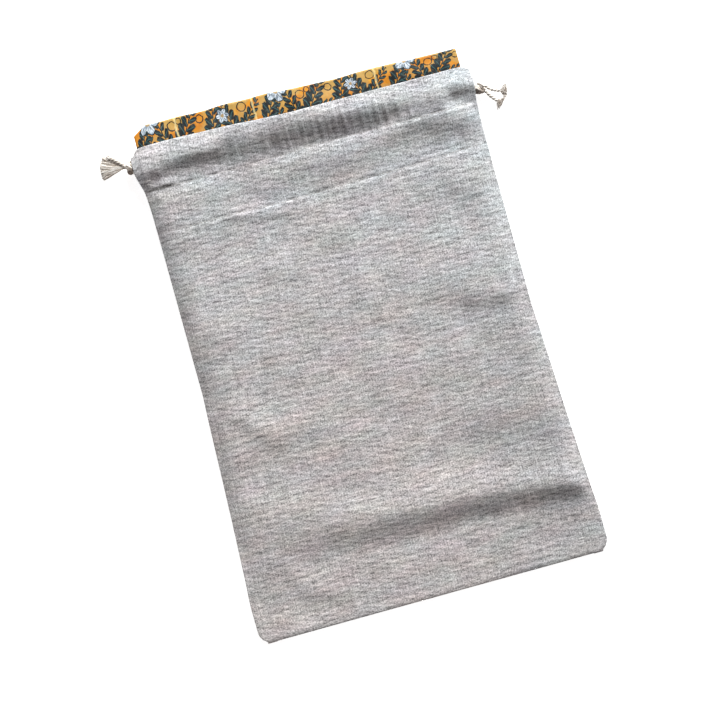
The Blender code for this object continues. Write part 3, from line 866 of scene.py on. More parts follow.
def inner_front(x, y):
    """Inner layer of the front hem: over the hollow, under the cord, and up to the mouth's edge."""
    under_outer = front_height(x, y) - HEM_LAYER_DROP
    past_cord = smooth_step((y - cord_line(x) - PAST_CORD) / PAST_CORD_LENGTH)
    level = np.minimum(roof(x, y) + HOLLOW_GAP, under_outer)
    return level + (under_outer - level) * past_cord


def inner_back(x, y):
    """Inner layer of the back hem, which rides over the back cord."""
    share = np.clip(np.abs(y - cord_line(x)) / BACK_CORD_ROLL["reach"], 0.0, 1.0)
    return BACK_CORD_ROLL["low"] + BACK_CORD_ROLL["rise"] * np.cos(share * np.pi / 2.0) ** 2


def back_height(x, y):
    """The outer face of the back cloth: on the table, with shallow hollows that don't touch it."""
    inward = side_of_bag(x, y) - np.abs(x)
    hollow = BACK_HOLLOWS * np.clip(ripple(x, y, 31, 0.060, (1.0, 0.8)) - 0.5, 0.0, None)
    dent = BACK_DENTS * np.clip(ripple(x, y, 32, 0.014, (0.7, 1.6)), 0.0, None)
    rows = bell(y - hem_line(x), BACK_STITCH_WIDTH) + bell(y - channel_line(x), BACK_STITCH_WIDTH)
    return TABLE_GAP + (hollow + dent + BACK_STITCHES * rows) * smooth_step(inward / 0.010)


# %% Rows of the strip
def panel_rows(ys, heights):
    """Outer rows: turned-in allowance, rounded edge, panel, rounded edge, allowance."""
    front = heights is front_height
    u, y = np.meshgrid(np.linspace(-1.0, 1.0, PANEL_COLUMNS + 1), ys)
    y = follow_mouth(MOUTH_HALF_WIDTH * u, y)
    rounding = smooth_table(y, EDGE_Y, EDGE_ROUNDING)
    x = u * (side_of_bag(u, y) - rounding)
    panel = np.dstack((x, y, heights(x, y)))
    parts = []
    for end, sign in ((0, -1.0), (-1, 1.0)):
        edge = panel[:, end]
        slit = bell(edge[:, 1] - cord_line(sign * 0.140), SLIT_HALF_LENGTH)
        level = smooth_table(edge[:, 1], EDGE_Y, SEAM_HEIGHT)
        level = level + SEAM_PLAY + SLIT_FRONT * slit if front else level - SEAM_PLAY - SLIT_BACK * slit
        middle, reach = 0.5 * (edge[:, 2] + level), 0.5 * (edge[:, 2] - level)
        columns = []
        for i in range(1, EDGE_COLUMNS + 1):
            angle = np.pi * (0.5 - i / EDGE_COLUMNS)
            out = edge[:, 0] + sign * rounding[:, end] * np.cos(angle)
            columns.append(np.column_stack((out, edge[:, 1], middle + reach * np.sin(angle))))
        for i in range(1, TURNED_COLUMNS + 1):
            back = edge[:, 0] - sign * SEAM_ALLOWANCE * i / TURNED_COLUMNS
            columns.append(np.column_stack((back, edge[:, 1], level)))
        parts.append(np.stack(columns, axis=1))
    return np.concatenate((parts[0][:, ::-1], panel, parts[1]), axis=1)


def hem_rows(ys, heights):
    """Rows of a hem's inner layer. Its side edges turn back between the layers."""
    u, y = np.meshgrid(np.linspace(-1.0, 1.0, PANEL_COLUMNS + 1), ys)
    y = follow_mouth(MOUTH_HALF_WIDTH * u, y)
    x = u * (side_of_bag(u, y) - HEM_INSET)
    panel = np.dstack((x, y, heights(x, y)))
    away = TURNED_EDGE_HEIGHT if heights is inner_front else -TURNED_EDGE_HEIGHT
    turn = np.linspace(0.0, 1.0, EDGE_COLUMNS + TURNED_COLUMNS + 1)[1:]
    round_share = np.clip(turn * 1.5, 0.0, 1.0)
    inward = 0.5 * SEAM_ALLOWANCE * np.clip(3.0 * turn - 2.0, 0.0, 1.0)
    out = TURNED_EDGE_ROUND * np.sin(np.pi * round_share) - inward
    lift = away * 0.5 * (1.0 - np.cos(np.pi * round_share))
    parts = []
    for end, sign in ((0, -1.0), (-1, 1.0)):
        edge = panel[:, end][:, None, :]
        parts.append(edge + np.dstack((sign * out, 0.0 * out, lift)))
    return np.concatenate((parts[0][:, ::-1], panel, parts[1]), axis=1)


def turn_over(last, first, way, reach):
    """Rows of a rounded fold between two layers."""
    middle, half = 0.5 * (last + first), 0.5 * (last - first)
    rows = []
    for i in range(1, FOLD_ROWS + 1):
        angle = np.pi * i / (FOLD_ROWS + 1)
        row = middle + half * np.cos(angle)
        row[:, 1] += way * reach * np.sin(angle)
        rows.append(row)
    return np.array(rows)


# %% The strip of linen
front_ys = [PANEL_BOTTOM]
for zone in FRONT_ROWS:
    front_ys.extend(np.linspace(front_ys[-1], zone["upto"], zone["rows"] + 1)[1:])
hem_ys = np.linspace(HEM_LINE - HEM_EDGE_BELOW, MOUTH_TOP - HEM_TOP_GAP, HEM_ROWS + 1)
back_in = hem_rows(hem_ys, inner_back)
back_out = panel_rows(np.linspace(MOUTH_TOP, PANEL_BOTTOM, BACK_ROWS + 1), back_height)
front_out = panel_rows(front_ys, front_height)
front_in = hem_rows(hem_ys[::-1], inner_front)
layers = (
    back_in,
    turn_over(back_in[-1], back_out[0], 1.0, TURN_REACH["back mouth"]),
    back_out,
    turn_over(back_out[-1], front_out[0], -1.0, TURN_REACH["bottom"]),
    front_out,
    turn_over(front_out[-1], front_in[0], 1.0, TURN_REACH["front mouth"]),
    front_in,
)
strip = np.concatenate(layers)
front_start = sum(len(layer) for layer in layers[:4])
fine_zones = []
for zone in FRONT_ROWS:
    if zone["fine"]:
        fine_zones.append((front_start, front_start + zone["rows"]))
    front_start += zone["rows"]

bag_uv, BAG_FLAT = flat_places(strip)
bag = lay_cloth("linen_bag", strip, bag_uv, lambda row: any(a <= row <= b for a, b in fine_zones))
thicken(bag, LINEN_THICKNESS, -1.0)
print("strip of linen:", strip.shape, "cut to", np.round(BAG_FLAT, 3), "m")
print("faces of the strip:", len(bag.data.polygons))

# %% [markdown]
# ## Stitches
#
# Two rows of machine stitches hold each hem: one along its lower edge, one below the channel. They
# are too small for a pattern to carry at the edge of a fold, so each stitch is a short thread with
# its ends pulled into the cloth.

# %% Rows of stitches
STITCH_PITCH = 0.0029
STITCH_LENGTH = 0.0024
STITCH_RADIUS = 0.00019
STITCH_SINK = 0.00016
STITCH_WANDER = 0.00008
STITCHES_END = 0.1339


def lay_stitch(mesh, start, end, lift):
    """One stitch from start to end, its middle raised by lift."""
    made = bmesh.ops.create_uvsphere(mesh, u_segments=6, v_segments=5, radius=1.0)
    start, end = np.array(start), np.array(end)
    way = end - start
    across = np.array((-way[1], way[0], 0.0)) / np.hypot(way[0], way[1])
    for vertex in made["verts"]:
        t = 0.5 + 0.5 * vertex.co.z
        body = start + t * way + STITCH_RADIUS * vertex.co.x * across
        rise = lift * (1.0 - vertex.co.z**2) + STITCH_RADIUS * vertex.co.y
        vertex.co = body + (0.0, 0.0, rise)


def lay_stitch_row(mesh, line, heights, outward):
    """A row along a line, on the front cloth if outward is 1 and on the back cloth if it is -1."""
    dice = np.random.default_rng(9)
    count = int(2.0 * STITCHES_END / STITCH_PITCH)
    lift = outward * (STITCH_SINK + 0.5 * STITCH_RADIUS)
    for i in range(count):
        x = -STITCHES_END + STITCH_PITCH * (i + 0.5) + np.array((-0.5, 0.5)) * STITCH_LENGTH
        y = line(x) + dice.uniform(-STITCH_WANDER, STITCH_WANDER, 2)
        z = heights(x, y) - outward * STITCH_SINK
        lay_stitch(mesh, (x[0], y[0], z[0]), (x[1], y[1], z[1]), lift)
    return count


stitch_mesh = bmesh.new()
stitch_count = 0
for line in (hem_line, channel_line):
    stitch_count += lay_stitch_row(stitch_mesh, line, front_height, 1.0)
    stitch_count += lay_stitch_row(stitch_mesh, line, back_height, -1.0)
stitches = finish_mesh(stitch_mesh, "hem_stitches")
print("stitches:", stitch_count)

# %% Loose thread ends
LOOSE_THREADS = (
    ((-0.1372, 0.1676), (-0.1345, 0.1690), (-0.1310, 0.1684), (-0.1288, 0.1662)),
    ((-0.1370, 0.1650), (-0.1340, 0.1664), (-0.1315, 0.1655), (-0.1296, 0.1640)),
)
LOOSE_LIFT = np.array((0.0001, 0.0006, 0.0007, 0.0002))
LOOSE_RADIUS = 0.00016
LOOSE_POINTS = 16
loose_mesh = bmesh.new()
for points in LOOSE_THREADS:
    plan = np.array(points)
    over = front_height(plan[:, 0], plan[:, 1]) + LOOSE_LIFT
    route = smooth_route(np.column_stack((plan, over)), LOOSE_POINTS)
    lay_rope(loose_mesh, route, LOOSE_RADIUS, around=5, tone=1.0)
loose_threads = finish_mesh(loose_mesh, "loose_threads")
print("loose thread ends:", len(LOOSE_THREADS))

# %% [markdown]
# ## The waxed wrap
#
# A sheet of printed cotton, stiff with wax, is folded in half with its fold at the top, and stands
# out of the bag's mouth. It is one sheet in two leaves. Wax makes it hold old creases, so soft
# upright creases cross it, and its top left corner is turned down.

# %% The folded sheet
WRAP_LEFT, WRAP_RIGHT = -0.1348, 0.1326
WRAP_TOP_LEFT, WRAP_TOP_RIGHT = 0.2144, 0.2064
WRAP_CORNER_WIDTH, WRAP_CORNER_DROP = 0.0112, 0.0080
WRAP_BOTTOM = -0.1385
WRAP_CLOTH = 0.0010
WRAP_THICKNESS = 0.0005
WRAP_REST = {
    "y": (-0.1385, 0.100, 0.122, 0.142, 0.160, 0.173, 0.190, 0.213),
    "z": (0.0013, 0.0013, 0.0022, 0.0029, 0.0045, 0.0061, 0.0067, 0.0049),
}
WRAP_LEAF_STEP = 0.0016
WRAP_FOLD_RADIUS = 0.0018
WRAP_CURL, WRAP_CURL_LENGTH = 0.0040, 0.028
WRAP_COLUMNS = 180
WRAP_MOUTH, WRAP_LAST = 0.190, 0.213
WRAP_ROWS = ((-0.110, 12), (0.150, 50), (WRAP_MOUTH, 24), (WRAP_LAST, 26))
WRAP_FOLD_ROWS = 10
WRAP_FINE_ROWS = 42  # on each side of the fold
WRAP_WOBBLE = 0.0005
CRINKLES, FINE_CRINKLES = 0.00022, 0.00008
CREASE_WIDTH = 0.0022
CREASES = (
    {"x": -0.034, "height": 0.0005},
    {"x": 0.067, "height": 0.0006},
    {"x": -0.098, "height": -0.0003},
)


def wrap_top(x):
    """The wrap's fold, which slopes down to the right and has its left corner turned down."""
    share = (x - WRAP_LEFT) / (WRAP_RIGHT - WRAP_LEFT)
    corner = np.clip(1.0 - (x - WRAP_LEFT) / WRAP_CORNER_WIDTH, 0.0, None)
    slope = WRAP_TOP_LEFT + share * (WRAP_TOP_RIGHT - WRAP_TOP_LEFT)
    return slope - WRAP_CORNER_DROP * corner + WRAP_WOBBLE * ripple(x, 0.0 * x, 61, 0.050)


def wrap_relief(x, y):
    """Crinkles of waxed cloth outside the mouth, and its old creases."""
    shown = smooth_step((y - 0.182) / 0.010)
    total = CRINKLES * ripple(x, y, 62, 0.024, (1.0, 1.6))
    total = total + FINE_CRINKLES * ripple(x, y, 63, 0.008, (1.0, 1.8))
    for old_crease in CREASES:
        total = total + old_crease["height"] * bell(x - old_crease["x"], CREASE_WIDTH)
    return total * shown


def wrap_leaf(x, y):
    """Height of the back leaf's middle."""
    return smooth_table(y, WRAP_REST["y"], WRAP_REST["z"]) + 0.5 * WRAP_CLOTH


def build_wrap():
    """Places of the sheet, from the lower edge of its back leaf over the fold to the front leaf's."""
    ys = [WRAP_BOTTOM]
    for upto, count in WRAP_ROWS:
        ys.extend(np.linspace(ys[-1], upto, count + 1)[1:])
    x, y = np.meshgrid(np.linspace(WRAP_LEFT, WRAP_RIGHT, WRAP_COLUMNS + 1), ys)
    top = wrap_top(x) - WRAP_FOLD_RADIUS - 0.5 * WRAP_THICKNESS
    outside = np.clip((y - WRAP_MOUTH) / (WRAP_LAST - WRAP_MOUTH), 0.0, 1.0)
    y = y + outside * (top - WRAP_LAST)
    relief = wrap_relief(x, y)
    back = np.dstack((x, y, wrap_leaf(x, y) + relief * 0.4))
    curl = WRAP_CURL * (0.35 + 0.65 * smooth_step((x + 0.10) / 0.22))
    lower_end = smooth_step(1.0 - (y - WRAP_BOTTOM) / WRAP_CURL_LENGTH)
    front = np.dstack((x, y, wrap_leaf(x, y) + WRAP_LEAF_STEP + curl * lower_end + relief))
    middle, half = 0.5 * (back[-1] + front[-1]), 0.5 * (back[-1] - front[-1])
    fold = []
    for i in range(1, WRAP_FOLD_ROWS):
        angle = np.pi * i / WRAP_FOLD_ROWS
        row = middle + half * np.cos(angle)
        row[:, 1] += WRAP_FOLD_RADIUS * np.sin(angle)
        fold.append(row)
    return np.concatenate((back, fold, front[::-1]))


wrap_places = build_wrap()
wrap_uv, WRAP_FLAT = flat_places(wrap_places)
wrap_uv[..., 1] -= 0.5 * WRAP_FLAT[1]
fold_row = len(wrap_places) // 2
wrap = lay_cloth("waxed_wrap", wrap_places, wrap_uv, lambda row: abs(row - fold_row) < WRAP_FINE_ROWS)
thicken(wrap, WRAP_THICKNESS, 0.0)
print("wrap:", wrap_places.shape, "cut to", np.round(WRAP_FLAT, 3), "m")

# %% [markdown]
# ## Shader helpers
#
# A material is a small tree of nodes. These helpers add a node, set or link its inputs, and give
# back an output, so that a tree can be written as a short list of steps.

# %% Node helpers
def paint(red, green, blue):
    """A colour from a paint chart, 0 to 255, as the light it reflects."""
    parts = []
    for value in (red, green, blue):
        share = value / 255.0
        parts.append(share / 12.92 if share <= 0.04045 else ((share + 0.055) / 1.055) ** 2.4)
    return (*parts, 1.0)


def feed(tree, socket, value):
    """Link an input to another node's output, or set it to a plain value."""
    if isinstance(value, bpy.types.NodeSocket):
        tree.links.new(value, socket)
    else:
        socket.default_value = value


def add_node(tree, kind, inputs=None, **settings):
    """A node with its settings, and its inputs fed by name or by number."""
    node = tree.nodes.new(kind)
    for name, value in settings.items():
        setattr(node, name, value)
    for key, value in (inputs or {}).items():
        feed(tree, node.inputs[key], value)
    return node


def math(tree, operation, *values):
    return add_node(tree, "ShaderNodeMath", dict(enumerate(values)), operation=operation).outputs[0]


def vector(tree, operation, *values):
    return add_node(tree, "ShaderNodeVectorMath", dict(enumerate(values)), operation=operation).outputs[0]


def noise(tree, place, per_metre, detail=2.0, roughness=0.5):
    """Soft noise from 0 to 1 with its own scale along each axis."""
    scaled = vector(tree, "MULTIPLY", place, per_metre)
    inputs = {"Vector": scaled, "Scale": 1.0, "Detail": detail, "Roughness": roughness}
    return add_node(tree, "ShaderNodeTexNoise", inputs).outputs["Fac"]


def blend(tree, share, first, second, kind="MIX"):
    """From the first colour at 0 to the second at 1."""
    node = add_node(tree, "ShaderNodeMix", data_type="RGBA", blend_type=kind, clamp_factor=True)
    for key, value in (("Factor_Float", share), ("A_Color", first), ("B_Color", second)):
        feed(tree, next(s for s in node.inputs if s.identifier == key), value)
    return next(s for s in node.outputs if s.identifier == "Result_Color")


def tint(tree, color, by):
    """A colour times another colour, or times a value."""
    return blend(tree, 1.0, color, by, "MULTIPLY")


def ramp(tree, value, stops):
    """A colour from a table of places between 0 and 1 and their colours."""
    node = add_node(tree, "ShaderNodeValToRGB", {"Fac": value})
    while len(node.color_ramp.elements) < len(stops):
        node.color_ramp.elements.new(0.5)
    for element, (place, color) in zip(node.color_ramp.elements, stops):
        element.position = place
        element.color = color
    return node.outputs["Color"]


def remap(tree, value, from_low, from_high, to_low=0.0, to_high=1.0):
    inputs = {
        "Value": value,
        "From Min": from_low, "From Max": from_high,
        "To Min": to_low, "To Max": to_high,
    }
    return add_node(tree, "ShaderNodeMapRange", inputs, clamp=True).outputs["Result"]


def split(tree, place):
    """The X and Y of a place, as two outputs."""
    outputs = add_node(tree, "ShaderNodeSeparateXYZ", {0: place}).outputs
    return outputs["X"], outputs["Y"]


def new_group(name, inputs, outputs):
    """An empty node group with named sockets."""
    tree = bpy.data.node_groups.new(name, "ShaderNodeTree")
    for label, kind in inputs:
        tree.interface.new_socket(name=label, in_out="INPUT", socket_type=kind)
    for label, kind in outputs:
        tree.interface.new_socket(name=label, in_out="OUTPUT", socket_type=kind)
    return tree, tree.nodes.new("NodeGroupInput"), tree.nodes.new("NodeGroupOutput")


def place_group(tree, group, inputs):
    """The outputs of a node group that is placed in a tree with its own inputs."""
    return add_node(tree, "ShaderNodeGroup", inputs, node_tree=group).outputs


def new_material(name, roughness, **constants):
    """A material with its shader, whose constants are set on its own sockets."""
    material = bpy.data.materials.new(name)
    material.use_nodes = True
    tree = material.node_tree
    shader = tree.nodes["Principled BSDF"]
    shader.inputs["Roughness"].default_value = roughness
    for key, value in constants.items():
        shader.inputs[key.replace("_", " ")].default_value = value
    return material, tree, shader


def add_bump(tree, shader, height, distance):
    bump = add_node(tree, "ShaderNodeBump", {"Height": height, "Distance": distance, "Strength": 1.0})
    tree.links.new(bump.outputs["Normal"], shader.inputs["Normal"])


def flat_place(tree):
    """Places on the flat cloth, from the piece's own map."""
    return add_node(tree, "ShaderNodeUVMap", uv_map=CLOTH_MAP).outputs["UV"]


def object_place(tree):
    return add_node(tree, "ShaderNodeTexCoord").outputs["Object"]


COLOR, VALUE, VECTOR = "NodeSocketColor", "NodeSocketFloat", "NodeSocketVector"

# %% [markdown]
# ## Linen
#
# This linen is a plain weave of undyed grey and pale yarns. Each yarn is thick and thin along its
# length, so the cloth is covered in flecks: long ones across the bag, where the weft runs, fewer
# up the bag, where the warp runs, and a fine grain of crossings. Faint wavy rows come from yarns
# beaten up unevenly. The group below is used for the bag and, more weakly, for its stitches.

# %% The weave group
YARN_PITCH = 0.00075
BEATEN_ROWS = (490.0, 1470.0)
WIDE_ROWS = 980.0
weave, group_in, group_out = new_group(
    "woven_flecks",
    (("Place", VECTOR), ("Contrast", VALUE)),
    (("Color", COLOR), ("Height", VALUE)),
)
place = group_in.outputs["Place"]
across, along = split(weave, place)


def on_cloth(operation, *values):
    """A step of sums inside the weave group."""
    return math(weave, operation, *values)


def centred(value, amount, so_far=0.0):
    """A noise value about zero, times an amount, added to what is there so far."""
    return on_cloth("MULTIPLY_ADD", on_cloth("SUBTRACT", value, 0.5), amount, so_far)


# %% Yarns that are thick and thin, and unevenly beaten rows
bow = centred(noise(weave, place, (9.0, 6.0, 1.0), 1.0), 0.012)
bent_inputs = {"X": across, "Y": on_cloth("ADD", along, bow)}
bent = add_node(weave, "ShaderNodeCombineXYZ", bent_inputs).outputs[0]
long_weft = noise(weave, bent, (50.0, 350.0, 1.0), 0.0)
short_weft = noise(weave, bent, (200.0, 600.0, 1.0), 0.0)
warp = noise(weave, place, (600.0, 50.0, 1.0), 0.0)
grain = noise(weave, place, (900.0, 900.0, 1.0), 0.0)
stir = centred(noise(weave, place, (22.0, 22.0, 1.0), 0.0), 9.0)
stir = centred(noise(weave, place, (60.0, 60.0, 1.0), 0.0), 2.0, stir)
leaning = on_cloth("MULTIPLY_ADD", across, BEATEN_ROWS[0], stir)
beaten = on_cloth("MULTIPLY_ADD", along, BEATEN_ROWS[1], leaning)
wide = on_cloth("MULTIPLY_ADD", along, WIDE_ROWS, stir)
flecks = centred(short_weft, 0.48)
flecks = centred(long_weft, 0.37, flecks)
flecks = centred(warp, 0.29, flecks)
flecks = centred(grain, 1.00, flecks)
flecks = on_cloth("MULTIPLY_ADD", on_cloth("SINE", beaten), 0.062, flecks)
flecks = on_cloth("MULTIPLY_ADD", on_cloth("SINE", wide), 0.050, flecks)

# %% Colour and height of the weave
LINEN_TONES = (
    (0.0, paint(102, 102, 103)),
    (0.25, paint(139, 139, 140)),
    (0.5, paint(171, 171, 172)),
    (0.75, paint(199, 199, 200)),
    (1.0, paint(224, 224, 225)),
)
ROSY_PATCHES = ((0.30, (0.940, 1.0, 0.985, 1.0)), (0.70, (1.0, 0.940, 0.945, 1.0)))
WARM_PATCHES = ((0.30, (0.96, 0.975, 1.0, 1.0)), (0.70, (1.0, 0.99, 0.945, 1.0)))
cloth_color = ramp(weave, on_cloth("MULTIPLY_ADD", flecks, group_in.outputs["Contrast"], 0.5), LINEN_TONES)
rosy = ramp(weave, noise(weave, place, (26.0, 52.0, 1.0), 3.0, 0.6), ROSY_PATCHES)
elsewhere = vector(weave, "ADD", place, (0.5, 0.3, 0.0))
warm = ramp(weave, noise(weave, elsewhere, (24.0, 46.0, 1.0), 3.0, 0.6), WARM_PATCHES)
weave.links.new(tint(weave, tint(weave, cloth_color, rosy), warm), group_out.inputs["Color"])
yarn_rows = on_cloth("SINE", on_cloth("MULTIPLY", along, 2.0 * np.pi / YARN_PITCH))
yarn_columns = on_cloth("SINE", on_cloth("MULTIPLY", across, 2.0 * np.pi / YARN_PITCH))
over_under = on_cloth("MULTIPLY", yarn_rows, yarn_columns)
height = on_cloth("MULTIPLY_ADD", over_under, 0.12, on_cloth("MULTIPLY", short_weft, 0.6))
height = on_cloth("MULTIPLY_ADD", long_weft, 0.3, height)
weave.links.new(on_cloth("MULTIPLY_ADD", warp, 0.4, height), group_out.inputs["Height"])
print("nodes of the weave:", len(weave.nodes))

# %% Linen of the bag
AGED = ((0.0, (0.993, 0.929, 0.934, 1.0)), (1.0, (0.943, 0.932, 0.962, 1.0)))
FADED = ((0.0, (1.0, 1.0, 0.985, 1.0)), (1.0, (0.965, 1.0, 1.0, 1.0)))
# Painted shade: the lower right of the front is painted up to 11 percent darker.
PAINTED_SHADE_TONES = ((0.0, (1.0, 1.0, 1.0, 1.0)), (1.0, (0.89, 0.89, 0.89, 1.0)))
linen, tree, shader = new_material("grey linen", 0.92, Sheen_Weight=0.12, Specular_IOR_Level=0.25)
cloth = place_group(tree, weave, {"Place": flat_place(tree), "Contrast": 1.12})
beside, up_bag = split(tree, object_place(tree))
aged = ramp(tree, remap(tree, up_bag, -0.06, 0.15), AGED)
faded = ramp(tree, remap(tree, beside, 0.03, 0.12), FADED)
painted_shade_place = math(tree, "MULTIPLY", remap(tree, beside, 0.03, 0.11), remap(tree, up_bag, 0.05, -0.02))
painted_shade = ramp(tree, painted_shade_place, PAINTED_SHADE_TONES)
# Painted light: the cloth is painted up to 11 percent lighter towards the bottom.
painted_light_below = remap(tree, up_bag, -0.09, -0.16, 1.0, 1.11)
linen_color = cloth["Color"]
for tone_and_light in (aged, faded, painted_shade, painted_light_below):
    linen_color = tint(tree, linen_color, tone_and_light)
tree.links.new(linen_color, shader.inputs["Base Color"])
add_bump(tree, shader, cloth["Height"], 0.00018)
bag.data.materials.append(linen)

# %% Thread of the stitches
thread, tree, shader = new_material("linen thread", 0.85)
yarn = place_group(tree, weave, {"Place": object_place(tree), "Contrast": 0.5})
tree.links.new(blend(tree, 0.6, yarn["Color"], paint(196, 190, 182)), shader.inputs["Base Color"])
add_bump(tree, shader, yarn["Height"], 0.00005)
for piece in (stitches, loose_threads):
    piece.data.materials.append(thread)

# %% [markdown]
# ## Cotton cord
#
# The cord is undyed cotton. It is cream on the crown of each strand and brown in the valleys,
# where dust and shade collect. A strand's height was kept as an attribute when the rope was laid.

# %% Cream cotton
COTTON_TONES = ((0.08, paint(108, 92, 82)), (0.42, paint(202, 194, 184)), (0.85, paint(246, 243, 238)))
cotton, tree, shader = new_material("cream cotton cord", 0.88, Sheen_Weight=0.15, Specular_IOR_Level=0.2)
crown = add_node(tree, "ShaderNodeAttribute", attribute_name=CROWN).outputs["Fac"]
place = object_place(tree)
lint = noise(tree, place, (1400.0, 1400.0, 1400.0), 3.0, 0.7)
stain = noise(tree, place, (220.0, 220.0, 220.0), 2.0)
shade = math(tree, "MULTIPLY_ADD", math(tree, "SUBTRACT", lint, 0.5), 0.5, crown)
cream = ramp(tree, shade, COTTON_TONES)
cream = blend(tree, remap(tree, stain, 0.45, 0.75, 0.0, 0.30), cream, paint(160, 136, 112))
tree.links.new(cream, shader.inputs["Base Color"])
add_bump(tree, shader, lint, 0.00025)
for piece in (*cord_pieces.values(), *knot_pieces.values(), *tail_pieces.values()):
    piece.data.materials.append(cotton)

# %% [markdown]
# ## The print on the wrap
#
# The wrap carries a generic block print: leaf sprigs, small blossoms and seed rings on an ochre
# ground. An image would blur when seen closely, so each motif is a node group that works out its
# own masks. Tables list where the motifs stand in one tile, and the tile repeats over the cloth.

# %% Edges of the motifs
EDGE_SOFTNESS = 0.14  # millimetres, as all lengths of the print


def soft_edge(tree, gap):
    """A mask that is 1 inside a shape, from the distance to its edge, which is negative inside."""
    return remap(tree, gap, EDGE_SOFTNESS, -EDGE_SOFTNESS)


# %% Leaf sprig: a straight stem with leaves on both sides that get smaller towards its tip
SLANT = 0.75  # radians between the stem and its leaves
SLANT_SINE, SLANT_COTANGENT = float(np.sin(SLANT)), float(1.0 / np.tan(SLANT))
STEM_HALF_WIDTH = 0.42
LEAF_BOW = 0.045
LEAF_STAGGER = 0.25
LEAF_SHRINK = 0.45
LEAF_FULLNESS = 0.96
sprig_group, group_in, group_out = new_group(
    "sprig_mark",
    (
        ("Place", VECTOR), ("Base", VECTOR), ("Turn", VALUE),
        ("Stem", VALUE), ("Spacing", VALUE), ("Leaf", VALUE),
    ),
    (("Mask", VALUE), ("Vein", VALUE)),
)


def on_sprig(operation, *values):
    """A step of sums inside the sprig group."""
    return math(sprig_group, operation, *values)


stem, spacing, leaf = (group_in.outputs[name] for name in ("Stem", "Spacing", "Leaf"))
from_base = vector(sprig_group, "SUBTRACT", group_in.outputs["Place"], group_in.outputs["Base"])
turned = add_node(
    sprig_group, "ShaderNodeVectorRotate", {"Vector": from_base, "Angle": group_in.outputs["Turn"]},
    rotation_type="Z_AXIS", invert=True,
).outputs["Vector"]
up_stem, off_stem = split(sprig_group, turned)
beside = on_sprig("ABSOLUTE", off_stem)
rooted = on_sprig("MULTIPLY_ADD", beside, -SLANT_COTANGENT, up_stem)
bowed = on_sprig("MULTIPLY_ADD", on_sprig("MULTIPLY", beside, beside), LEAF_BOW, rooted)
stagger = on_sprig("MULTIPLY", on_sprig("SIGN", off_stem), LEAF_STAGGER)
at = on_sprig("ADD", on_sprig("DIVIDE", bowed, spacing), stagger)
last = on_sprig("FLOOR", on_sprig("DIVIDE", stem, spacing))
which = on_sprig("MINIMUM", on_sprig("MAXIMUM", on_sprig("ROUND", at), 0.0), last)
away = on_sprig("ABSOLUTE", on_sprig("SUBTRACT", at, which))
away = on_sprig("MULTIPLY", on_sprig("MULTIPLY", away, spacing), SLANT_SINE)
share_left = on_sprig("MULTIPLY_ADD", on_sprig("DIVIDE", which, last), -LEAF_SHRINK, 1.0)
size = on_sprig("MULTIPLY", leaf, share_left)
share = on_sprig("DIVIDE", beside, on_sprig("MULTIPLY", size, SLANT_SINE))
belly = on_sprig("MULTIPLY", share, on_sprig("SUBTRACT", 1.0, share))
half_width = on_sprig("MULTIPLY", on_sprig("MULTIPLY", belly, LEAF_FULLNESS), size)
leaf_gap = on_sprig("SUBTRACT", away, half_width)
stem_gap = on_sprig("SUBTRACT", beside, STEM_HALF_WIDTH)
stem_gap = on_sprig("MAXIMUM", stem_gap, on_sprig("SUBTRACT", up_stem, stem))
stem_gap = on_sprig("MAXIMUM", stem_gap, on_sprig("MULTIPLY", up_stem, -1.0))
shape = soft_edge(sprig_group, on_sprig("MINIMUM", leaf_gap, stem_gap))
sprig_group.links.new(shape, group_out.inputs["Mask"])
inside = remap(sprig_group, leaf_gap, -0.25, -0.55)
vein = on_sprig("MULTIPLY", remap(sprig_group, away, 0.30, 0.10), inside)
sprig_group.links.new(vein, group_out.inputs["Vein"])
print("nodes of a sprig:", len(sprig_group.nodes))

# %% Blossom with rays. With no petals its outline is a seed ring
PETAL_DEPTH = 0.42
HEART_SHARE = 0.24
OUTLINE_HALF_WIDTH = 0.40
RAYS = 6.0
bloom_group, group_in, group_out = new_group(
    "bloom_mark",
    (("Place", VECTOR), ("Base", VECTOR), ("Radius", VALUE), ("Petals", VALUE)),
    (("Petal Mask", VALUE), ("Outline", VALUE), ("Heart", VALUE), ("Lines", VALUE)),
)


def on_bloom(operation, *values):
    """A step of sums inside the bloom group."""
    return math(bloom_group, operation, *values)


radius, petal_count = group_in.outputs["Radius"], group_in.outputs["Petals"]
from_middle = vector(bloom_group, "SUBTRACT", group_in.outputs["Place"], group_in.outputs["Base"])
beside, above = split(bloom_group, from_middle)
around = on_bloom("ARCTAN2", above, beside)
measure = add_node(bloom_group, "ShaderNodeVectorMath", {0: from_middle}, operation="LENGTH")
distance = measure.outputs["Value"]
wave = on_bloom("ABSOLUTE", on_bloom("COSINE", on_bloom("MULTIPLY", around, petal_count)))
lobe = on_bloom("MULTIPLY_ADD", wave, PETAL_DEPTH, 1.0 - PETAL_DEPTH)
rim = on_bloom("SUBTRACT", distance, on_bloom("MULTIPLY", lobe, radius))
heart = on_bloom("SUBTRACT", distance, on_bloom("MULTIPLY", radius, HEART_SHARE))
edge_line = on_bloom("SUBTRACT", on_bloom("ABSOLUTE", rim), OUTLINE_HALF_WIDTH)
for gap, label in ((rim, "Petal Mask"), (edge_line, "Outline"), (heart, "Heart")):
    bloom_group.links.new(soft_edge(bloom_group, gap), group_out.inputs[label])
ray = on_bloom("ABSOLUTE", on_bloom("SINE", on_bloom("MULTIPLY", around, RAYS)))
ray_gap = on_bloom("MULTIPLY", ray, on_bloom("DIVIDE", distance, RAYS))
rays = remap(bloom_group, ray_gap, 0.30, 0.10)
rays = on_bloom("MULTIPLY", rays, remap(bloom_group, rim, -0.2, -0.9))
rays = on_bloom("MULTIPLY", rays, remap(bloom_group, heart, 0.3, 0.9))
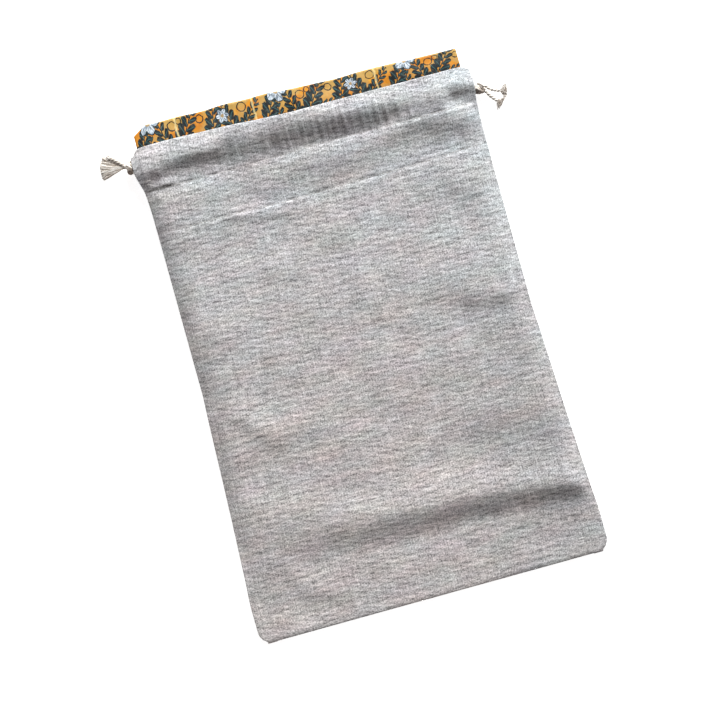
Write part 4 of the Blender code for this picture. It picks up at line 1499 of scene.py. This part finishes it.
bloom_group.links.new(rays, group_out.inputs["Lines"])
print("nodes of a blossom:", len(bloom_group.nodes))

# %% Where the motifs stand
TILE = (106.0, 60.0)  # millimetres; the fold at the wrap's top is at 0 and at 60
SPRIGS = (  # base, direction in degrees, stem length, spacing of the leaves, leaf length
    {"base": (3.0, 22.0), "turn": -64.0, "stem": 25.0, "spacing": 6.2, "leaf": 12.0},
    {"base": (29.0, 23.0), "turn": -106.0, "stem": 25.0, "spacing": 6.0, "leaf": 11.0},
    {"base": (38.0, 21.0), "turn": -58.0, "stem": 26.0, "spacing": 6.4, "leaf": 12.5},
    {"base": (45.0, 20.0), "turn": -8.0, "stem": 22.0, "spacing": 4.6, "leaf": 6.0},
    {"base": (65.0, 21.0), "turn": -80.0, "stem": 24.0, "spacing": 6.0, "leaf": 11.5},
    {"base": (14.5, 22.0), "turn": -92.0, "stem": 11.0, "spacing": 5.4, "leaf": 8.0},
    {"base": (84.0, 23.0), "turn": -110.0, "stem": 25.0, "spacing": 6.2, "leaf": 12.0},
    {"base": (89.0, 21.0), "turn": -48.0, "stem": 27.0, "spacing": 5.2, "leaf": 8.5},
    {"base": (20.0, 39.0), "turn": 68.0, "stem": 20.0, "spacing": 6.4, "leaf": 10.5},
    {"base": (22.0, 39.0), "turn": 118.0, "stem": 20.0, "spacing": 5.8, "leaf": 9.0},
    {"base": (70.0, 39.0), "turn": 62.0, "stem": 21.0, "spacing": 6.6, "leaf": 11.0},
    {"base": (72.0, 39.0), "turn": 120.0, "stem": 20.0, "spacing": 5.4, "leaf": 8.0},
)
BLOOMS = (
    {"base": (15.0, 0.0), "radius": 8.8, "petals": 2.5},
    {"base": (75.0, 8.0), "radius": 5.6, "petals": 3.0},
    {"base": (47.0, 55.0), "radius": 8.5, "petals": 2.5},
    {"base": (97.0, 54.0), "radius": 8.0, "petals": 3.0},
)
RINGS = (
    {"base": (33.5, 6.0), "radius": 3.4},
    {"base": (39.5, 3.5), "radius": 2.2},
    {"base": (56.5, 5.5), "radius": 3.0},
    {"base": (91.5, 5.0), "radius": 3.4},
)
print("motifs in one tile:", len(SPRIGS) + len(BLOOMS) + len(RINGS))


# %% Stamping one tile
def strongest(tree, masks):
    """The strongest of several masks at each place."""
    total = masks[0]
    for mask in masks[1:]:
        total = math(tree, "MAXIMUM", total, mask)
    return total


def stamp_tile(tree, tile):
    """The masks of all motifs together: their leaves, veins, petals, hearts and dark lines."""
    marks = {"leaves": [], "veins": [], "petals": [], "hearts": [], "lines": []}
    for sprig in SPRIGS:
        inputs = {
            "Place": tile, "Base": (*sprig["base"], 0.0), "Turn": float(np.radians(sprig["turn"])),
            "Stem": sprig["stem"], "Spacing": sprig["spacing"], "Leaf": sprig["leaf"],
        }
        stamped = place_group(tree, sprig_group, inputs)
        marks["leaves"].append(stamped["Mask"])
        marks["veins"].append(stamped["Vein"])
    for bloom in (*BLOOMS, *RINGS):
        base, petals = (*bloom["base"], 0.0), bloom.get("petals", 0.0)
        inputs = {"Place": tile, "Base": base, "Radius": bloom["radius"], "Petals": petals}
        stamped = place_group(tree, bloom_group, inputs)
        marks["lines"].append(stamped["Outline"])
        if petals:
            marks["lines"].append(stamped["Lines"])
            marks["petals"].append(stamped["Petal Mask"])
            marks["hearts"].append(stamped["Heart"])
    return {name: strongest(tree, masks) for name, masks in marks.items()}


# %% Colours of the print
MILLIMETRES = (1000.0, 1000.0, 1000.0)  # in a metre, the unit of the cloth's map
SHAKE = (1.8, 1.8, 0.0)
OCHRE_TONES = ((0.34, paint(174, 104, 14)), (0.52, paint(198, 130, 22)), (0.68, paint(220, 162, 46)))
PETAL_TONES = ((0.35, paint(104, 118, 132)), (0.52, paint(176, 188, 198)), (0.8, paint(232, 236, 240)))
LEAF_TONES = ((0.35, paint(4, 8, 12)), (0.7, paint(12, 32, 36)))
WORN_OCHRE, SHADED_OCHRE = paint(170, 142, 80), paint(176, 106, 22)
VEIN_COLOR, HEART_COLOR, LINE_COLOR = paint(44, 84, 86), paint(150, 128, 92), paint(8, 12, 16)


def ochre_ground(tree, cloth_map):
    """The dyed ground: mottled, greyer in worn patches, and browner away from the fold at the top, which
    is painted shade.
    """
    ground = ramp(tree, noise(tree, cloth_map, (42.0, 60.0, 1.0), 3.0, 0.6), OCHRE_TONES)
    worn = remap(tree, noise(tree, cloth_map, (44.0, 60.0, 1.0), 1.0), 0.44, 0.50)
    ground = blend(tree, math(tree, "MULTIPLY", worn, 0.80), ground, WORN_OCHRE)
    # Painted shade: the ground turns browner away from the lit fold, towards the mouth.
    from_fold = math(tree, "ABSOLUTE", split(tree, cloth_map)[1])
    return blend(tree, remap(tree, from_fold, 0.004, 0.018, 0.0, 0.45), ground, SHADED_OCHRE)


def build_print(tree, cloth_map):
    """The print's colour. A slow noise moves the motifs a little, so that no edge is ruled."""
    flat = vector(tree, "MULTIPLY", cloth_map, MILLIMETRES)
    shaky_inputs = {"Vector": flat, "Scale": 0.35, "Detail": 2.0}
    shaky = add_node(tree, "ShaderNodeTexNoise", shaky_inputs).outputs["Color"]
    shaky = vector(tree, "MULTIPLY", vector(tree, "SUBTRACT", shaky, (0.5, 0.5, 0.5)), SHAKE)
    tile = vector(tree, "WRAP", vector(tree, "ADD", flat, shaky), (*TILE, 1.0), (0.0, 0.0, -1.0))
    marks = stamp_tile(tree, tile)
    petals = ramp(tree, noise(tree, cloth_map, (700.0, 300.0, 1.0), 2.0), PETAL_TONES)
    leaves = ramp(tree, noise(tree, cloth_map, (160.0, 160.0, 1.0), 2.0), LEAF_TONES)
    leaves = blend(tree, marks["veins"], leaves, VEIN_COLOR)
    colored = blend(tree, marks["leaves"], ochre_ground(tree, cloth_map), leaves)
    colored = blend(tree, marks["petals"], colored, petals)
    colored = blend(tree, marks["hearts"], colored, HEART_COLOR)
    return blend(tree, marks["lines"], colored, LINE_COLOR)


# %% Waxed cotton, with wax bloom and a painted highlight along each old crease
WAX_COLOR, CREASE_HIGHLIGHT = paint(236, 214, 170), paint(250, 226, 160)
waxed, tree, shader = new_material("waxed printed cotton", 0.5, Specular_IOR_Level=0.32)
cloth_map = flat_place(tree)
printed = build_print(tree, cloth_map)
bloom_of_wax = noise(tree, cloth_map, (260.0, 180.0, 1.0), 4.0, 0.7)
printed = blend(tree, remap(tree, bloom_of_wax, 0.55, 0.85, 0.0, 0.14), printed, WAX_COLOR)
stray = math(tree, "SUBTRACT", bloom_of_wax, 0.5)
wander = math(tree, "MULTIPLY_ADD", stray, 0.004, split(tree, cloth_map)[0])
# Painted highlight: a pale line along each old crease, where the fold faces the lamp.
for old_crease in CREASES:
    off = math(tree, "ABSOLUTE", math(tree, "SUBTRACT", wander, old_crease["x"] - WRAP_LEFT))
    printed = blend(tree, remap(tree, off, 0.0012, 0.0003, 0.0, 0.50), printed, CREASE_HIGHLIGHT)
tree.links.new(printed, shader.inputs["Base Color"])
tree.links.new(remap(tree, bloom_of_wax, 0.3, 0.8, 0.42, 0.66), shader.inputs["Roughness"])
crinkle = noise(tree, cloth_map, (420.0, 160.0, 1.0), 4.0, 0.65)
fine_weave = noise(tree, cloth_map, (2400.0, 2400.0, 1.0), 1.0)
add_bump(tree, shader, math(tree, "MULTIPLY_ADD", fine_weave, 0.18, crinkle), 0.00045)
wrap.data.materials.append(waxed)
print("nodes of the waxed cotton:", len(tree.nodes))

# %% [markdown]
# ## The floor
#
# A plain pale floor, much wider than the bag, takes the soft shadow. It glows, as a light table
# does, so that the shadow stays faint.

# %% Floor
FLOOR_HALF_WIDTH = 6.0
FLOOR_GLOW = 0.72
FLOOR_COLOR, GLOW_COLOR = (0.93, 0.93, 0.93, 1.0), (1.0, 1.0, 1.0, 1.0)
floor_mesh = bmesh.new()
bmesh.ops.create_grid(floor_mesh, x_segments=2, y_segments=2, size=FLOOR_HALF_WIDTH)
floor = finish_mesh(floor_mesh, "floor")
pale, tree, shader = new_material("pale floor", 0.95, Specular_IOR_Level=0.1, Emission_Strength=FLOOR_GLOW)
shader.inputs["Base Color"].default_value = FLOOR_COLOR
shader.inputs["Emission Color"].default_value = GLOW_COLOR
floor.data.materials.append(pale)

# %% [markdown]
# ## Tell the frame what each piece is
#
# Every piece rides on the one body and stands for the imported solids it covers. Cords and
# sheets also say their real length or flat size.

# %% Riding and replacing
dressed = [
    (bag, "linen", ("bag_cloth",)),
    (stitches, "linen", ()),
    (loose_threads, "linen", ()),
    (wrap, "waxed_cotton", ("wax_wrap",)),
    (cord_pieces["front"], "cotton_cord", ("drawcord_front",)),
    (cord_pieces["back"], "cotton_cord", ("drawcord_back",)),
    (knot_pieces["left"], "cotton_cord", ("knot_left",)),
    (knot_pieces["right"], "cotton_cord", ("knot_right",)),
]
dressed += [(piece, "cotton_cord", (name,)) for name, piece in tail_pieces.items()]
for piece, slot_name, nodes in dressed:
    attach(piece, "root")
    if nodes:
        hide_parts(*nodes)

# %% Cords and sheets
for side, piece in cord_pieces.items():
    route = cord_routes[side]
